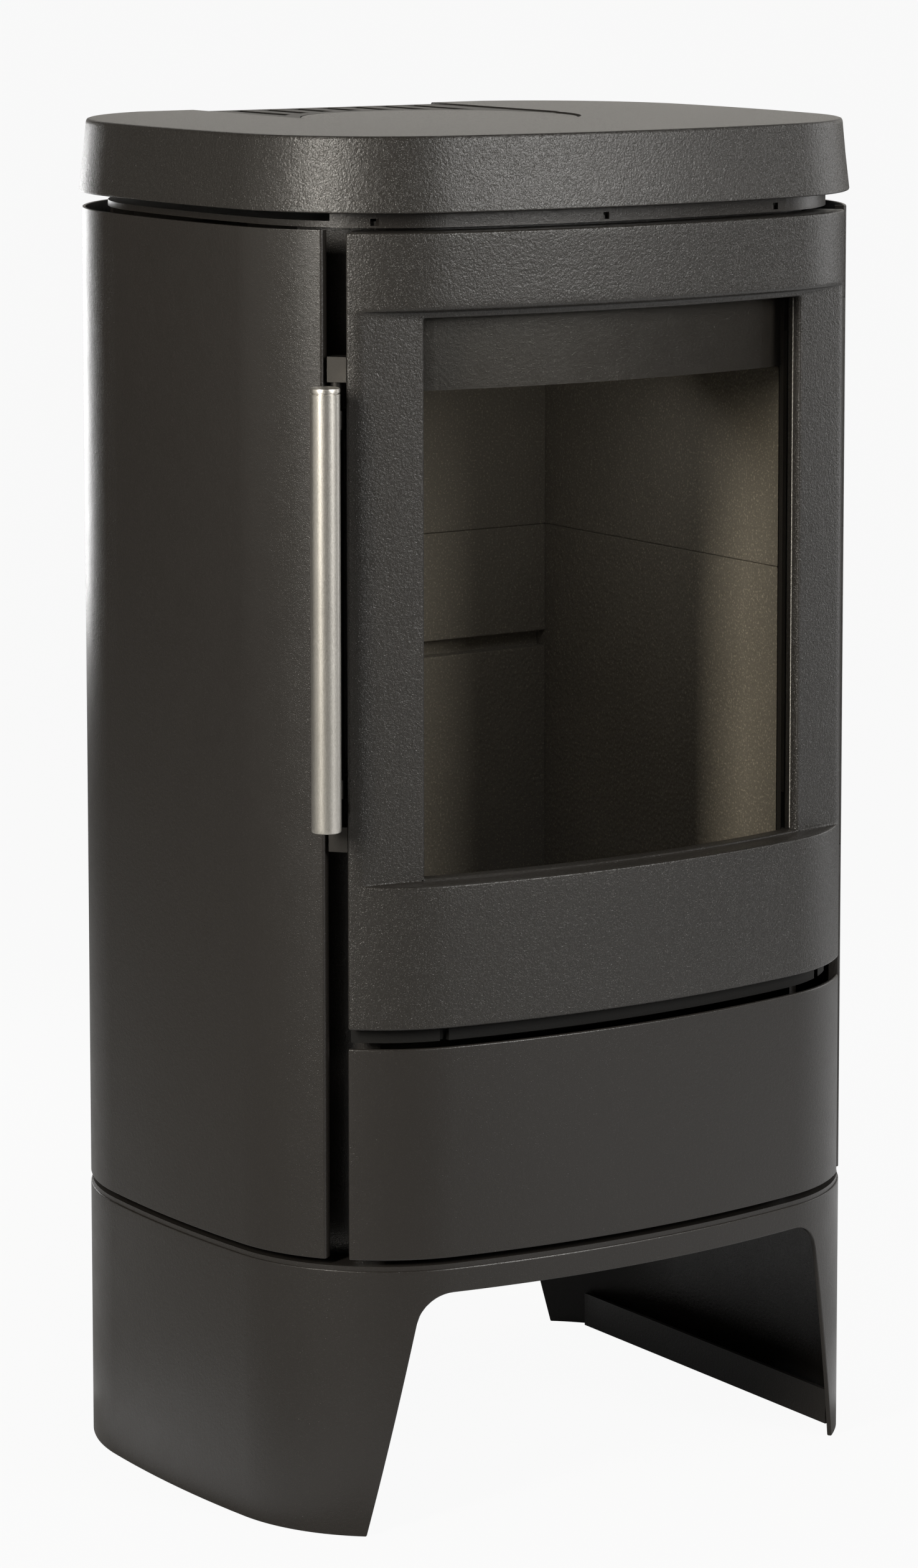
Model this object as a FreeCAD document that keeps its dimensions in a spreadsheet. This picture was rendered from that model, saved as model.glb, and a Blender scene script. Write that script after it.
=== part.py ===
"""A free-standing wood stove with a bowed door, an ash drawer and a cast top plate.

The stove stands on the floor at z = 0, with its front towards -Y. Every skin follows one
plan outline: a bowed front, round corners, slightly bowed sides and a flat back.
"""
import FreeCAD, Part
import math
import os
import types

import Sketcher

doc = FreeCAD.newDocument("wood_stove")
sheet = doc.addObject("Spreadsheet::Sheet", "Sizes")

# Driving dimensions, in millimetres and degrees
SIZES = {
    # plan outline
    "body_half_width": 239,
    "body_front": 200,
    "body_back": 200,
    "front_radius": 720,
    "side_radius": 907,
    "side_centre": 23,
    "corner_radius": 120,
    "rear_radius": 138,
    "rear_centre": 69,
    "panel_edge_angle": 38.7,
    "door_edge_angle": 45.8,
    "frame_edge_angle": 20,
    # general
    "skin": 3,
    "wall": 4,
    "fit_gap": 0.2,
    "slide_gap": 0.3,
    "running_fit": 0.05,
    "press_fit": 0.02,
    "overrun": 20,
    # base
    "base_height": 175,
    "base_plate_thickness": 3,
    "base_plate_inset": 1,
    "arch_height": 159,
    "leg_width": 50,
    "arch_lean_width": 32,
    "arch_corner": 24,
    "rail_width": 36.5,
    "rail_front": 138,
    "rail_back": 150,
    "rail_lip": 24,
    # heights of the front
    "panel_lift": 4,
    "lower_panel_height": 138,
    "front_gap": 12,
    "door_height": 508,
    "side_panel_height": 659.5,
    "panel_fold": 8,
    "deck_gap": 2,
    "rim_gap": 12,
    # casing
    "casing_side_gap": 53,
    "casing_back": 165,
    "frame_inset": 30,
    "fire_side_gap": 1,
    "fire_sill_depth": 25,
    "fire_head_height": 15,
    "ash_side_width": 74,
    "ash_sill": 8,
    "ash_head_gap": 4,
    "ledge_inset": 10,
    "ledge_lift": 2,
    "ledge_notch_width": 6,
    "ledge_notch_depth": 4,
    "ledge_notch_left": 101.3,
    "ledge_notch_right": 66,
    "bracket_width": 40,
    "bracket_low_height": 72,
    "bracket_drop": 4,
    # hearth
    "hearth_thickness": 6,
    "grate_length": 220,
    "grate_depth": 140,
    "grate_thickness": 8,
    "grate_lap": 10,
    "grate_slot": 9,
    "grate_pitch": 18,
    "grate_centre": 15,
    "brick": 25,
    "brick_upper_height": 135,
    "brick_top_gap": 2,
    "brick_slot_depth_below": 88,
    "brick_slot": 11,
    "brick_slot_depth": 10,
    "baffle_thickness": 20,
    "baffle_front": 45,
    "wash_thickness": 2,
    "wash_height": 48,
    "wash_side_width": 8,
    "wash_lap": 10,
    # top
    "collar_inset": 14,
    "rim_height": 48,
    "rim_overhang": 2,
    "rim_draft": 5.4,
    "rim_chamfer": 4,
    "rim_wall": 10,
    "top_thickness": 10,
    "disc_radius": 93.9,
    "disc_gap": 0.5,
    "disc_centre": 35.6,
    "disc_thickness": 6,
    "disc_ledge": 8,
    "disc_sink": 1,
    "grille_half": 99.3,
    "grille_ledge": 9,
    "slot_count": 7,
    "slot_pitch": 24,
    "slot_width": 11,
    "slot_margin": 12,
    "slot_end": 6,
    "spigot_radius": 75,
    "spigot_height": 40,
    "spigot_flange": 14,
    "notch_size": 4.5,
    "notch_height": 2.5,
    "notch_left": 63.5,
    "notch_middle": 19.3,
    "notch_right": 114.6,
    # door
    "door_thickness": 24,
    "window_side_width": 90,
    "window_bottom_margin": 95,
    "window_top_margin": 55,
    "recess_depth": 13,
    "recess_low_margin": 4,
    "recess_high_margin": 8,
    "window_lip": 4,
    "glass_lap_width": 10,
    "glass_thickness": 4,
    "gasket_thickness": 2.8,
    "gasket_show": 1.5,
    "clamp_lap_width": 2,
    "clamp_width": 17,
    "clamp_height": 310,
    "clamp_thickness": 3,
    "rope_side_gap": 6,
    "rope_width": 9,
    "rope_margin": 13,
    # hinges
    "pin_radius": 3,
    "eye_radius": 5,
    "hinge_depth": 5,
    "leaf_height": 8,
    "eye_height": 12,
    "hinge_upper_depth": 80,
    "hinge_lower_height": 56,
    "hinge_arm": 8,
    # handle and latch
    "handle_radius": 9.5,
    "handle_height": 132,
    "handle_length": 281,
    "handle_standoff": 22,
    "handle_groove": 1,
    "handle_cap": 3,
    "arm_height": 10,
    "arm_width": 5,
    "arm_margin": 2,
    "shaft_radius": 4,
    "shaft_depth": 6,
    "lug_height": 16,
    "lug_width": 5,
    "lug_depth": 14,
    "lug_gap": 1,
    "lug_inset": 1,
    "tongue_length": 21,
    "tongue_width": 6,
    "tongue_height": 12,
    "keeper_gap": 0.4,
    "keeper_width": 12,
    "keeper_height": 30,
    # ash drawer
    "tray_side_gap": 10,
    "tray_back": 130,
    "tray_height": 110,
    "tray_wall": 2,
    "runner_width": 20,
    "runner_front": 130,
}
for row, (name, number) in enumerate(SIZES.items(), 1):
    sheet.set(f"A{row}", name)
    sheet.set(f"B{row}", str(number))
    sheet.setAlias(f"B{row}", name)
doc.recompute()


class Size:
    """A length that keeps both its number and the expression it comes from."""

    def __init__(self, text, number):
        self.text = text
        self.number = number

    def __add__(self, other):
        other = as_size(other)
        return Size(f"({self.text} + {other.text})", self.number + other.number)

    def __sub__(self, other):
        other = as_size(other)
        return Size(f"({self.text} - {other.text})", self.number - other.number)

    def __rsub__(self, other):
        return as_size(other) - self

    def __mul__(self, other):
        other = as_size(other)
        return Size(f"({self.text} * {other.text})", self.number * other.number)

    def __truediv__(self, other):
        other = as_size(other)
        return Size(f"({self.text} / {other.text})", self.number / other.number)

    def __neg__(self):
        return Size(f"(-{self.text})", -self.number)


def as_size(value):
    return value if isinstance(value, Size) else Size(repr(value), value)


d = types.SimpleNamespace(
    **{name: Size(f"Sizes.{name}", float(sheet.get(name))) for name in SIZES}
)

# Heights that follow from the sizes
plate_top = d.base_height + d.base_plate_thickness
panel_bottom = plate_top + d.panel_lift
lower_top = panel_bottom + d.lower_panel_height
door_bottom = lower_top + d.front_gap
door_top = door_bottom + d.door_height
deck_bottom = door_top + d.deck_gap
deck_top = deck_bottom + d.wall
rim_bottom = door_top + d.rim_gap
rim_top = rim_bottom + d.rim_height
top_under = rim_top - d.top_thickness
frame_back = d.frame_inset + d.wall + d.fit_gap
hearth_top = door_bottom
hearth_under = hearth_top - d.hearth_thickness
arch_half_bottom = d.body_half_width - d.leg_width
arch_half_top = arch_half_bottom - d.arch_lean_width
rail_inner = d.body_half_width - d.rail_width
casing_half = d.body_half_width - d.casing_side_gap
window_half = d.body_half_width - d.window_side_width
fire_half = window_half + d.fire_side_gap
wash_half = fire_half + d.wash_side_width
clamp_half = window_half - d.clamp_lap_width
ash_half = d.body_half_width - d.ash_side_width
tray_half = ash_half - d.tray_side_gap
window_bottom = door_bottom + d.window_bottom_margin
window_top = door_top - d.window_top_margin
recess_bottom = window_bottom - d.recess_low_margin
recess_top = window_top + d.recess_high_margin
fire_sill = window_bottom - d.fire_sill_depth
fire_head = window_top + d.fire_head_height
wash_bottom = window_top - d.wash_height
brick_top = wash_bottom - d.brick_top_gap
brick_joint_height = brick_top - d.brick_upper_height
brick_slot_height = brick_joint_height - d.brick_slot_depth_below
hinge_upper = door_top - d.hinge_upper_depth
hinge_lower = door_bottom + d.hinge_lower_height
handle_bottom = door_bottom + d.handle_height
ash_head = lower_top - d.ash_head_gap
bracket_low = plate_top + d.bracket_low_height
inner_half = casing_half - d.wall
inner_back = d.casing_back - d.wall
reach = d.body_half_width + d.body_front + d.body_back


def bind(obj, prop, value):
    obj.setExpression(prop, as_size(value).text)


def add(kind, name):
    return doc.addObject(kind, name)


def box(name, x, y, z):
    obj = add("Part::Box", name)
    for prop, axis, span in (("Length", "x", x), ("Width", "y", y), ("Height", "z", z)):
        bind(obj, prop, as_size(span[1]) - span[0])
        bind(obj, f"Placement.Base.{axis}", span[0])
    return obj


def cylinder(name, radius, centre, z):
    obj = add("Part::Cylinder", name)
    bind(obj, "Radius", radius)
    bind(obj, "Height", as_size(z[1]) - z[0])
    bind(obj, "Placement.Base.x", centre[0])
    bind(obj, "Placement.Base.y", centre[1])
    bind(obj, "Placement.Base.z", z[0])
    return obj


def fuse(name, *pieces):
    obj = add("Part::MultiFuse", name)
    obj.Shapes = list(pieces)
    obj.Refine = True
    return obj


def common(name, *pieces):
    obj = add("Part::MultiCommon", name)
    obj.Shapes = list(pieces)
    return obj


def cut(name, base, *tools):
    obj = add("Part::Cut", name)
    obj.Base = base
    obj.Tool = tools[0] if len(tools) == 1 else fuse(f"{name}_tools", *tools)
    return obj


# The plan outline's arc centres; they stay the same for every inset
front_centre = (0.0, (d.front_radius - d.body_front).number)
side_middle = ((d.side_radius - d.body_half_width).number, d.side_centre.number)


def corner_middle():
    """Centre of the arc that joins the bowed front to the left side."""
    front_reach = (d.front_radius - d.corner_radius).number
    side_reach = (d.side_radius - d.corner_radius).number
    dx = side_middle[0] - front_centre[0]
    dy = side_middle[1] - front_centre[1]
    span = math.hypot(dx, dy)
    along = (front_reach**2 - side_reach**2 + span**2) / (2 * span)
    across = math.sqrt(front_reach**2 - along**2)
    x = front_centre[0] + (along * dx + across * dy) / span
    y = front_centre[1] + (along * dy - across * dx) / span
    return x, y


corner = corner_middle()
rear_reach = (d.side_radius - d.rear_radius).number
rear_rise = (d.rear_centre - d.side_centre).number
rear_middle = (side_middle[0] - math.sqrt(rear_reach**2 - rear_rise**2), d.rear_centre.number)


def heading(start, end):
    return math.atan2(end[1] - start[1], end[0] - start[0]) % (2 * math.pi)


def outline(name, inset, z):
    """The plan outline, drawn in by an inset, as a closed sketch at height z."""
    sketch = add("Sketcher::SketchObject", name)
    bind(sketch, "Placement.Base.z", z)
    inset = as_size(inset)
    radii = [d.rear_radius - inset, d.side_radius - inset, d.corner_radius - inset]
    front = d.front_radius - inset
    back = d.body_back - inset
    rise = (back - d.rear_centre).number / radii[0].number
    turns = [
        math.pi - math.asin(rise),
        heading(side_middle, rear_middle),
        heading(side_middle, corner),
        heading(front_centre, corner),
    ]
    centres = [rear_middle, side_middle, corner]
    up = FreeCAD.Vector(0, 0, 1)

    def arc(centre, radius, start, end):
        circle = Part.Circle(FreeCAD.Vector(*centre, 0), up, radius.number)
        return sketch.addGeometry(Part.ArcOfCircle(circle, start, end))

    left = [arc(centres[i], radii[i], turns[i], turns[i + 1]) for i in range(3)]
    bow = arc(front_centre, front, turns[3], math.pi * 3 - turns[3])
    right = [
        arc((-centres[i][0], centres[i][1]), radii[i], math.pi - turns[i + 1], math.pi - turns[i])
        for i in (2, 1, 0)
    ]
    chain = left + [bow] + right
    for first, second in zip(chain, chain[1:]):
        sketch.addConstraint(Sketcher.Constraint("Tangent", first, 2, second, 1))
    ends = [sketch.getPoint(chain[-1], 2), sketch.getPoint(chain[0], 1)]
    line = sketch.addGeometry(Part.LineSegment(*ends))
    sketch.addConstraint(Sketcher.Constraint("Coincident", chain[-1], 2, line, 1))
    sketch.addConstraint(Sketcher.Constraint("Coincident", line, 2, chain[0], 1))
    sketch.addConstraint(Sketcher.Constraint("Horizontal", line))

    def measure(kind, value, *where):
        index = sketch.addConstraint(Sketcher.Constraint(kind, *where, value.number))
        bind(sketch, f"Constraints[{index}]", value)

    for arcs in (left, right[::-1]):
        for index, radius in zip(arcs, radii):
            measure("Radius", radius, index)
    measure("Radius", front, bow)
    middle_x = d.side_radius - d.body_half_width
    measure("DistanceX", middle_x, -1, 1, left[1], 3)
    measure("DistanceX", middle_x, right[1], 3, -1, 1)
    for arcs in (left, right[::-1]):
        measure("DistanceY", d.side_centre, -1, 1, arcs[1], 3)
        measure("DistanceY", d.rear_centre, -1, 1, arcs[0], 3)
    measure("DistanceY", d.front_radius - d.body_front, -1, 1, bow, 3)
    sketch.addConstraint(Sketcher.Constraint("PointOnObject", bow, 3, -2))
    measure("DistanceY", back, -1, 1, line, 1)
    return sketch


def prism(name, inset, z):
    """A solid of the plan outline between two heights."""
    obj = add("Part::Extrusion", name)
    obj.Base = outline(f"{name}_outline", inset, z[0])
    obj.DirMode = "Custom"
    obj.Dir = FreeCAD.Vector(0, 0, 1)
    obj.Solid = True
    bind(obj, "LengthFwd", as_size(z[1]) - z[0])
    return obj


def band(name, insets, z):
    """A closed wall between two insets of the plan outline."""
    outer = prism(f"{name}_outer", insets[0], z)
    inner = prism(f"{name}_inner", insets[1], (z[0] - d.overrun, z[1] + d.overrun))
    return cut(name, outer, inner)


def edge_box(name, side, angle, along, depth, z):
    """A box in the frame of a front corner.

    side is -1 on the left and 1 on the right. along runs round the corner towards the door
    and depth runs inwards, both from the point of the outline at the angle.
    """
    obj = add("Part::Box", name)
    turn = math.radians(angle.number)
    outward = (side * math.cos(turn), -math.sin(turn))
    to_door = (-side * math.sin(turn), -math.cos(turn))
    start, sink = as_size(along[0]).number, as_size(depth[0]).number
    out = d.corner_radius.number - sink
    base_x = -side * corner[0] + out * outward[0] + start * to_door[0]
    base_y = corner[1] + out * outward[1] + start * to_door[1]
    spans = {"Length": along, "Width": depth} if side < 0 else {"Length": depth, "Width": along}
    for prop, span in spans.items():
        bind(obj, prop, as_size(span[1]) - span[0])
    bind(obj, "Height", as_size(z[1]) - z[0])
    spin = angle.number - 90 if side < 0 else 180 - angle.number
    rotation = FreeCAD.Rotation(FreeCAD.Vector(0, 0, 1), spin)
    obj.Placement = FreeCAD.Placement(FreeCAD.Vector(base_x, base_y, 0), rotation)
    bind(obj, "Placement.Base.z", z[0])
    return obj


def edge_point(side, angle, depth):
    """A point in plan, at a depth behind the outline, on a radial of a front corner."""
    turn = math.radians(angle.number)
    out = d.corner_radius.number - as_size(depth).number
    return side * (-corner[0] + out * math.cos(turn)), corner[1] - out * math.sin(turn)


def side_block(name, side, angle):
    """Everything on the side and back of a corner's radial plane."""
    return edge_box(name, side, angle, (-reach, 0), (-reach, reach), (-reach, reach + reach))


def front_part(name, source, angle):
    """The part of a band in front of the two corners' radial planes."""
    blocks = [side_block(f"{name}_block{side}", side, angle) for side in (-1, 1)]
    return cut(name, source, *blocks)


def window(name, half, z):
    """A box that goes through the front, centred across the stove."""
    return box(name, (-half, half), (-reach, 0), z)


def arc_shell(name, insets, half, z):
    """A piece of a shell that is concentric with the bowed front."""
    centre = (0, d.front_radius - d.body_front)
    outer = cylinder(f"{name}_outer", d.front_radius - insets[0], centre, z)
    inner = cylinder(
        f"{name}_inner", d.front_radius - insets[1], centre, (z[0] - d.overrun, z[1] + d.overrun)
    )
    return common(name, cut(f"{name}_shell", outer, inner), window(f"{name}_span", half, z))


pieces = {}


def keep(label, obj):
    obj.Label = label
    pieces[label] = obj
    return obj


# Base: skirt with two legs, foot rails and base plate
skirt = band("skirt", (0, d.skin), (0, d.base_height))
arch_sketch = add("Sketcher::SketchObject", "arch_profile")
arch_sketch.Placement = FreeCAD.Placement(
    FreeCAD.Vector(0, reach.number, 0), FreeCAD.Rotation(FreeCAD.Vector(1, 0, 0), 90)
)
low = -d.overrun
lean = d.arch_lean_width / d.arch_height
low_half = arch_half_bottom + lean * d.overrun
arch_points = [
    (-low_half, low),
    (low_half, low),
    (arch_half_top, d.arch_height),
    (-arch_half_top, d.arch_height),
]
for start, end in zip(arch_points, arch_points[1:] + arch_points[:1]):
    arch_sketch.addGeometry(
        Part.LineSegment(
            FreeCAD.Vector(start[0].number, start[1].number, 0),
            FreeCAD.Vector(end[0].number, end[1].number, 0),
        )
    )
for index in range(len(arch_points)):
    following = (index + 1) % len(arch_points)
    arch_sketch.addConstraint(Sketcher.Constraint("Coincident", index, 2, following, 1))
    for kind, value in zip(("DistanceX", "DistanceY"), arch_points[index]):
        number = arch_sketch.addConstraint(
            Sketcher.Constraint(kind, -1, 1, index, 1, value.number)
        )
        bind(arch_sketch, f"Constraints[{number}]", value)
arch = add("Part::Extrusion", "arch")
arch.Base = arch_sketch
arch.DirMode = "Custom"
arch.Dir = FreeCAD.Vector(0, -1, 0)
arch.Solid = True
bind(arch, "LengthFwd", reach + reach)
doc.recompute()
arch_round = add("Part::Fillet", "arch_round")
arch_round.Base = arch
upper_edges = []
for index, edge in enumerate(arch.Shape.Edges, 1):
    across = abs(edge.tangentAt(edge.FirstParameter).y) > 0.9
    if across and edge.CenterOfMass.z > 0:
        upper_edges.append((index, d.arch_corner.number, d.arch_corner.number))
arch_round.Edges = upper_edges
keep("base_skirt", cut("base_skirt", skirt, arch_round))
keep(
    "base_plate",
    prism("base_plate", d.base_plate_inset, (d.base_height, plate_top)),
)
for label, side in (("left_foot_rail", -1), ("right_foot_rail", 1)):
    across = (rail_inner, reach) if side > 0 else (-reach, -rail_inner)
    lip_out = rail_inner + d.skin
    lip_across = (rail_inner, lip_out) if side > 0 else (-lip_out, -rail_inner)
    inside = prism(f"{label}_inside", d.skin + d.fit_gap, (0, d.rail_lip))
    length = (-d.rail_front, d.rail_back)
    angle = fuse(
        f"{label}_angle",
        box(f"{label}_flange", across, length, (0, d.skin)),
        box(f"{label}_lip", lip_across, length, (0, d.rail_lip)),
    )
    keep(label, common(label, angle, inside))

# Casing: two walls, back, roof deck and the curved front frame
casing_z = (plate_top, deck_bottom)
inside_frame = prism("inside_frame", frame_back, casing_z)
for label, side in (("casing_left", -1), ("casing_right", 1)):
    across = (inner_half, casing_half) if side > 0 else (-casing_half, -inner_half)
    sheet_box = box(f"{label}_sheet", across, (-d.body_front, d.casing_back), casing_z)
    keep(label, common(label, sheet_box, inside_frame))
keep(
    "casing_back",
    box("casing_back", (-inner_half, inner_half), (inner_back, d.casing_back), casing_z),
)
deck_outline = prism("deck_outline", d.collar_inset + d.skin + d.fit_gap, (deck_bottom, deck_top))
deck_sheet = box(
    "deck_sheet",
    (-d.body_half_width, d.body_half_width),
    (-d.body_front, d.casing_back),
    (deck_bottom, deck_top),
)
disc_middle = (0, d.disc_centre)
spigot_bore = d.spigot_radius - d.skin
deck_hole = cylinder(
    "deck_hole", spigot_bore, disc_middle, (deck_bottom - d.overrun, deck_top + d.overrun)
)
keep("roof_deck", cut("roof_deck", common("deck_whole", deck_outline, deck_sheet), deck_hole))
frame_ring = band("frame_ring", (d.frame_inset, d.frame_inset + d.wall), casing_z)
frame_front = front_part("frame_front", frame_ring, d.frame_edge_angle)
fire_hole = window("fire_hole", fire_half, (fire_sill, fire_head))
ash_hole = window("ash_hole", ash_half, (plate_top + d.ash_sill, ash_head))
keep("front_frame", cut("front_frame", frame_front, fire_hole, ash_hole))
ledge_z = (lower_top + d.ledge_lift, door_bottom - d.ledge_lift)
ledge_ring = band("ledge_ring", (d.ledge_inset, d.frame_inset - d.fit_gap), ledge_z)
ledge_front = front_part("ledge_front", ledge_ring, d.door_edge_angle)
half_notch = d.ledge_notch_width / 2
ledge_left = d.ledge_notch_left - d.body_half_width
ledge_right = d.body_half_width - d.ledge_notch_right
notch_core = prism(
    "notch_core",
    d.ledge_inset + d.ledge_notch_depth,
    (ledge_z[0] - d.overrun, ledge_z[1] + d.overrun),
)
notch_boxes = [
    box(name, (x - half_notch, x + half_notch), (-reach, 0), (ledge_z[0], ledge_z[1]))
    for name, x in (("ledge_left", ledge_left), ("ledge_right", ledge_right))
]
ledge_notches = cut("ledge_notches", fuse("ledge_boxes", *notch_boxes), notch_core)
keep("front_ledge", cut("front_ledge", ledge_front, ledge_notches))

# Skins: side panels, rear panel and the brackets that carry the sides
side_z = (panel_bottom, panel_bottom + d.side_panel_height)
rear_depth = (d.body_back - d.rear_centre).number
rear_flat = as_size(math.sqrt(d.rear_radius.number**2 - rear_depth**2) - rear_middle[0])
rear_half = rear_flat - d.skin
side_inside = prism("side_inside", d.skin + d.fit_gap, (0, rim_top))
for name, side in (("left", -1), ("right", 1)):
    ring = band(f"{name}_ring", (0, d.skin), side_z)
    half_plan = (0, reach) if side > 0 else (-reach, 0)
    half_ring = common(
        f"{name}_half",
        ring,
        side_block(f"{name}_behind", side, d.panel_edge_angle),
        box(f"{name}_side", half_plan, (-reach, reach), side_z),
    )
    opening = box(
        f"{name}_rear_opening",
        (-rear_half, rear_half),
        (d.body_back - d.skin - d.fit_gap, d.body_back + d.overrun),
        (side_z[0] - d.overrun, side_z[1] + d.overrun),
    )
    fold = edge_box(
        f"{name}_fold",
        side,
        d.panel_edge_angle,
        (-d.skin, 0),
        (d.skin / 2, d.panel_fold),
        side_z,
    )
    wrapped = cut(f"{name}_wrapped", half_ring, opening)
    keep(f"{name}_side_panel", fuse(f"{name}_side_panel", wrapped, fold))
    levels = (("upper", deck_bottom - d.bracket_drop), ("lower", bracket_low))
    for level, top in levels:
        label = f"{name}_bracket_{level}"
        across = (casing_half, reach) if side > 0 else (-reach, -casing_half)
        plate = box(
            f"{label}_plate",
            across,
            (-d.bracket_width / 2, d.bracket_width / 2),
            (top - d.skin, top),
        )
        keep(label, common(label, plate, side_inside))
panel_half = rear_half - d.skin
keep(
    "rear_panel",
    box(
        "rear_panel",
        (-panel_half, panel_half),
        (d.body_back - d.skin, d.body_back),
        (plate_top, side_z[1]),
    ),
)

# Hearth: plate, grate, firebricks, baffle and the air-wash plate above the glass
hearth_sheet = box(
    "hearth_sheet",
    (-inner_half + d.fit_gap, inner_half - d.fit_gap),
    (-d.body_front, inner_back - d.fit_gap),
    (hearth_under, hearth_top),
)
grate_half = d.grate_length / 2
grate_span = (d.grate_centre - d.grate_depth / 2, d.grate_centre + d.grate_depth / 2)
grate_hole = box(
    "grate_hole",
    (-grate_half + d.grate_lap, grate_half - d.grate_lap),
    (grate_span[0] + d.grate_lap, grate_span[1] - d.grate_lap),
    (hearth_under - d.overrun, hearth_top + d.overrun),
)
hearth_whole = common("hearth_whole", hearth_sheet, inside_frame)
keep("hearth_plate", cut("hearth_plate", hearth_whole, grate_hole))
grate_z = (hearth_top, hearth_top + d.grate_thickness)
grate_block = box("grate_block", (-grate_half, grate_half), grate_span, grate_z)
clear_width = (d.grate_length - d.grate_lap - d.grate_lap).number
slot_total = int(clear_width // d.grate_pitch.number)
grate_slots = []
for index in range(slot_total):
    place = d.grate_pitch * (index - (slot_total - 1) / 2)
    grate_slots.append(
        box(
            f"grate_slot{index}",
            (place - d.grate_slot / 2, place + d.grate_slot / 2),
            (grate_span[0] + d.grate_lap, grate_span[1] - d.grate_lap),
            (grate_z[0] - d.overrun, grate_z[1] + d.overrun),
        )
    )
keep("grate", cut("grate", grate_block, *grate_slots))
brick_front = prism("brick_front", frame_back + d.wash_thickness + d.skin, (0, rim_top))
brick_in = inner_half - d.fit_gap
brick_face = brick_in - d.brick
brick_back = inner_back - d.fit_gap
rows = (
    ("lower", (hearth_top, brick_joint_height)),
    ("upper", (brick_joint_height, brick_top)),
)
slot_z = (brick_slot_height, brick_slot_height + d.brick_slot)
for level, z in rows:
    for name, side in (("left", -1), ("right", 1)):
        label = f"brick_{name}_{level}"
        across = (brick_face, brick_in) if side > 0 else (-brick_in, -brick_face)
        block = box(f"{label}_block", across, (-d.body_front, brick_back), z)
        keep(label, common(label, block, brick_front))
    label = f"brick_back_{level}"
    rear_y = (brick_back - d.brick, brick_back)
    brick = box(f"{label}_block", (-brick_face, brick_face), rear_y, z)
    if level == "lower":
        slot_y = (-d.body_front, rear_y[0] + d.brick_slot_depth)
        groove = box(f"{label}_groove", (-brick_face, brick_face), slot_y, slot_z)
        brick = cut(f"{label}_grooved", brick, groove)
    keep(label, brick)
keep(
    "baffle",
    box(
        "baffle",
        (-brick_in, brick_in),
        (-d.baffle_front, brick_back),
        (brick_top, brick_top + d.baffle_thickness),
    ),
)
wash_z = (wash_bottom, fire_head + d.wash_lap)
wash_ring = band("wash_ring", (frame_back, frame_back + d.wash_thickness), wash_z)
wash_span = window("wash_span", wash_half, wash_z)
keep("air_wash_plate", common("air_wash_plate", wash_ring, wash_span))

# Top: collar, cast plate with grille, spigot and the lift-off cover
collar_z = (deck_bottom, top_under)
collar_ring = band("collar_ring", (d.collar_inset, d.collar_inset + d.skin), collar_z)
collar_front = front_part("collar_front", collar_ring, d.panel_edge_angle)
half_notch = d.notch_size / 2
notch_low = deck_top - d.notch_height
collar_notches = [
    box(name, (x - half_notch, x + half_notch), (-reach, 0), (notch_low, notch_low + d.notch_size))
    for name, x in (
        ("collar_left", d.notch_left - d.body_half_width),
        ("collar_middle", -d.notch_middle),
        ("collar_right", d.body_half_width - d.notch_right),
    )
]
keep("collar", cut("collar", collar_front, *collar_notches))
rim_sections = [
    outline("rim_low", -d.rim_overhang, rim_bottom),
    outline("rim_high", d.rim_draft - d.rim_overhang, rim_top - d.rim_chamfer),
    outline("rim_face", d.rim_draft - d.rim_overhang + d.rim_chamfer, rim_top),
]
rim = add("Part::Loft", "rim")
rim.Sections = rim_sections
rim.Solid = True
rim.Ruled = True
hollow = prism("hollow", d.rim_wall, (rim_bottom - d.overrun, top_under))
above = rim_top + d.overrun
rebate_floor = rim_top - d.disc_sink - d.disc_thickness
disc_rebate = cylinder(
    "disc_rebate", d.disc_radius + d.disc_gap, disc_middle, (rebate_floor, above)
)
grille_rebate = box(
    "grille_rebate", (-d.grille_half, d.grille_half), (d.disc_centre, reach), (rebate_floor, above)
)
disc_hole = cylinder(
    "disc_hole", d.disc_radius - d.disc_ledge, disc_middle, (top_under - d.overrun, above)
)
vent_half = d.grille_half - d.grille_ledge
rim_edge = d.body_back - d.rim_wall - d.fit_gap
vent_box = box(
    "vent_box", (-vent_half, vent_half), (d.disc_centre, rim_edge), (top_under - d.overrun, above)
)
vent_ring = cylinder(
    "vent_ring",
    d.disc_radius + d.disc_gap + d.grille_ledge,
    disc_middle,
    (top_under - reach, above + reach),
)
vent = cut("vent", vent_box, vent_ring)
keep("top_plate", cut("top_plate", rim, hollow, disc_rebate, grille_rebate, disc_hole, vent))
grille_back = d.body_back - d.rim_draft - d.rim_chamfer
grille_z = (rebate_floor, rim_top - d.disc_sink)
grille_block = box(
    "grille_block",
    (-d.grille_half + d.disc_gap, d.grille_half - d.disc_gap),
    (d.disc_centre, grille_back),
    grille_z,
)
disc_clear = cylinder(
    "disc_clear",
    d.disc_radius + d.disc_gap,
    disc_middle,
    (grille_z[0] - d.overrun, grille_z[1] + d.overrun),
)
slot_boxes = []
for index in range(round(d.slot_count.number)):
    place = d.slot_pitch * (index - (d.slot_count - 1) / 2)
    slot_boxes.append(
        box(
            f"slot{index}",
            (place - d.slot_width / 2, place + d.slot_width / 2),
            (d.disc_centre, grille_back - d.slot_end),
            (grille_z[0] - d.overrun, grille_z[1] + d.overrun),
        )
    )
slot_front = cylinder(
    "slot_front",
    d.disc_radius + d.disc_gap + d.slot_margin,
    disc_middle,
    (grille_z[0] - reach, grille_z[1] + reach),
)
slots = cut("slots", fuse("slot_set", *slot_boxes), slot_front)
keep("top_grille", cut("top_grille", grille_block, disc_clear, slots))
keep("flue_cover", cylinder("flue_cover", d.disc_radius, disc_middle, grille_z))
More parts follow.
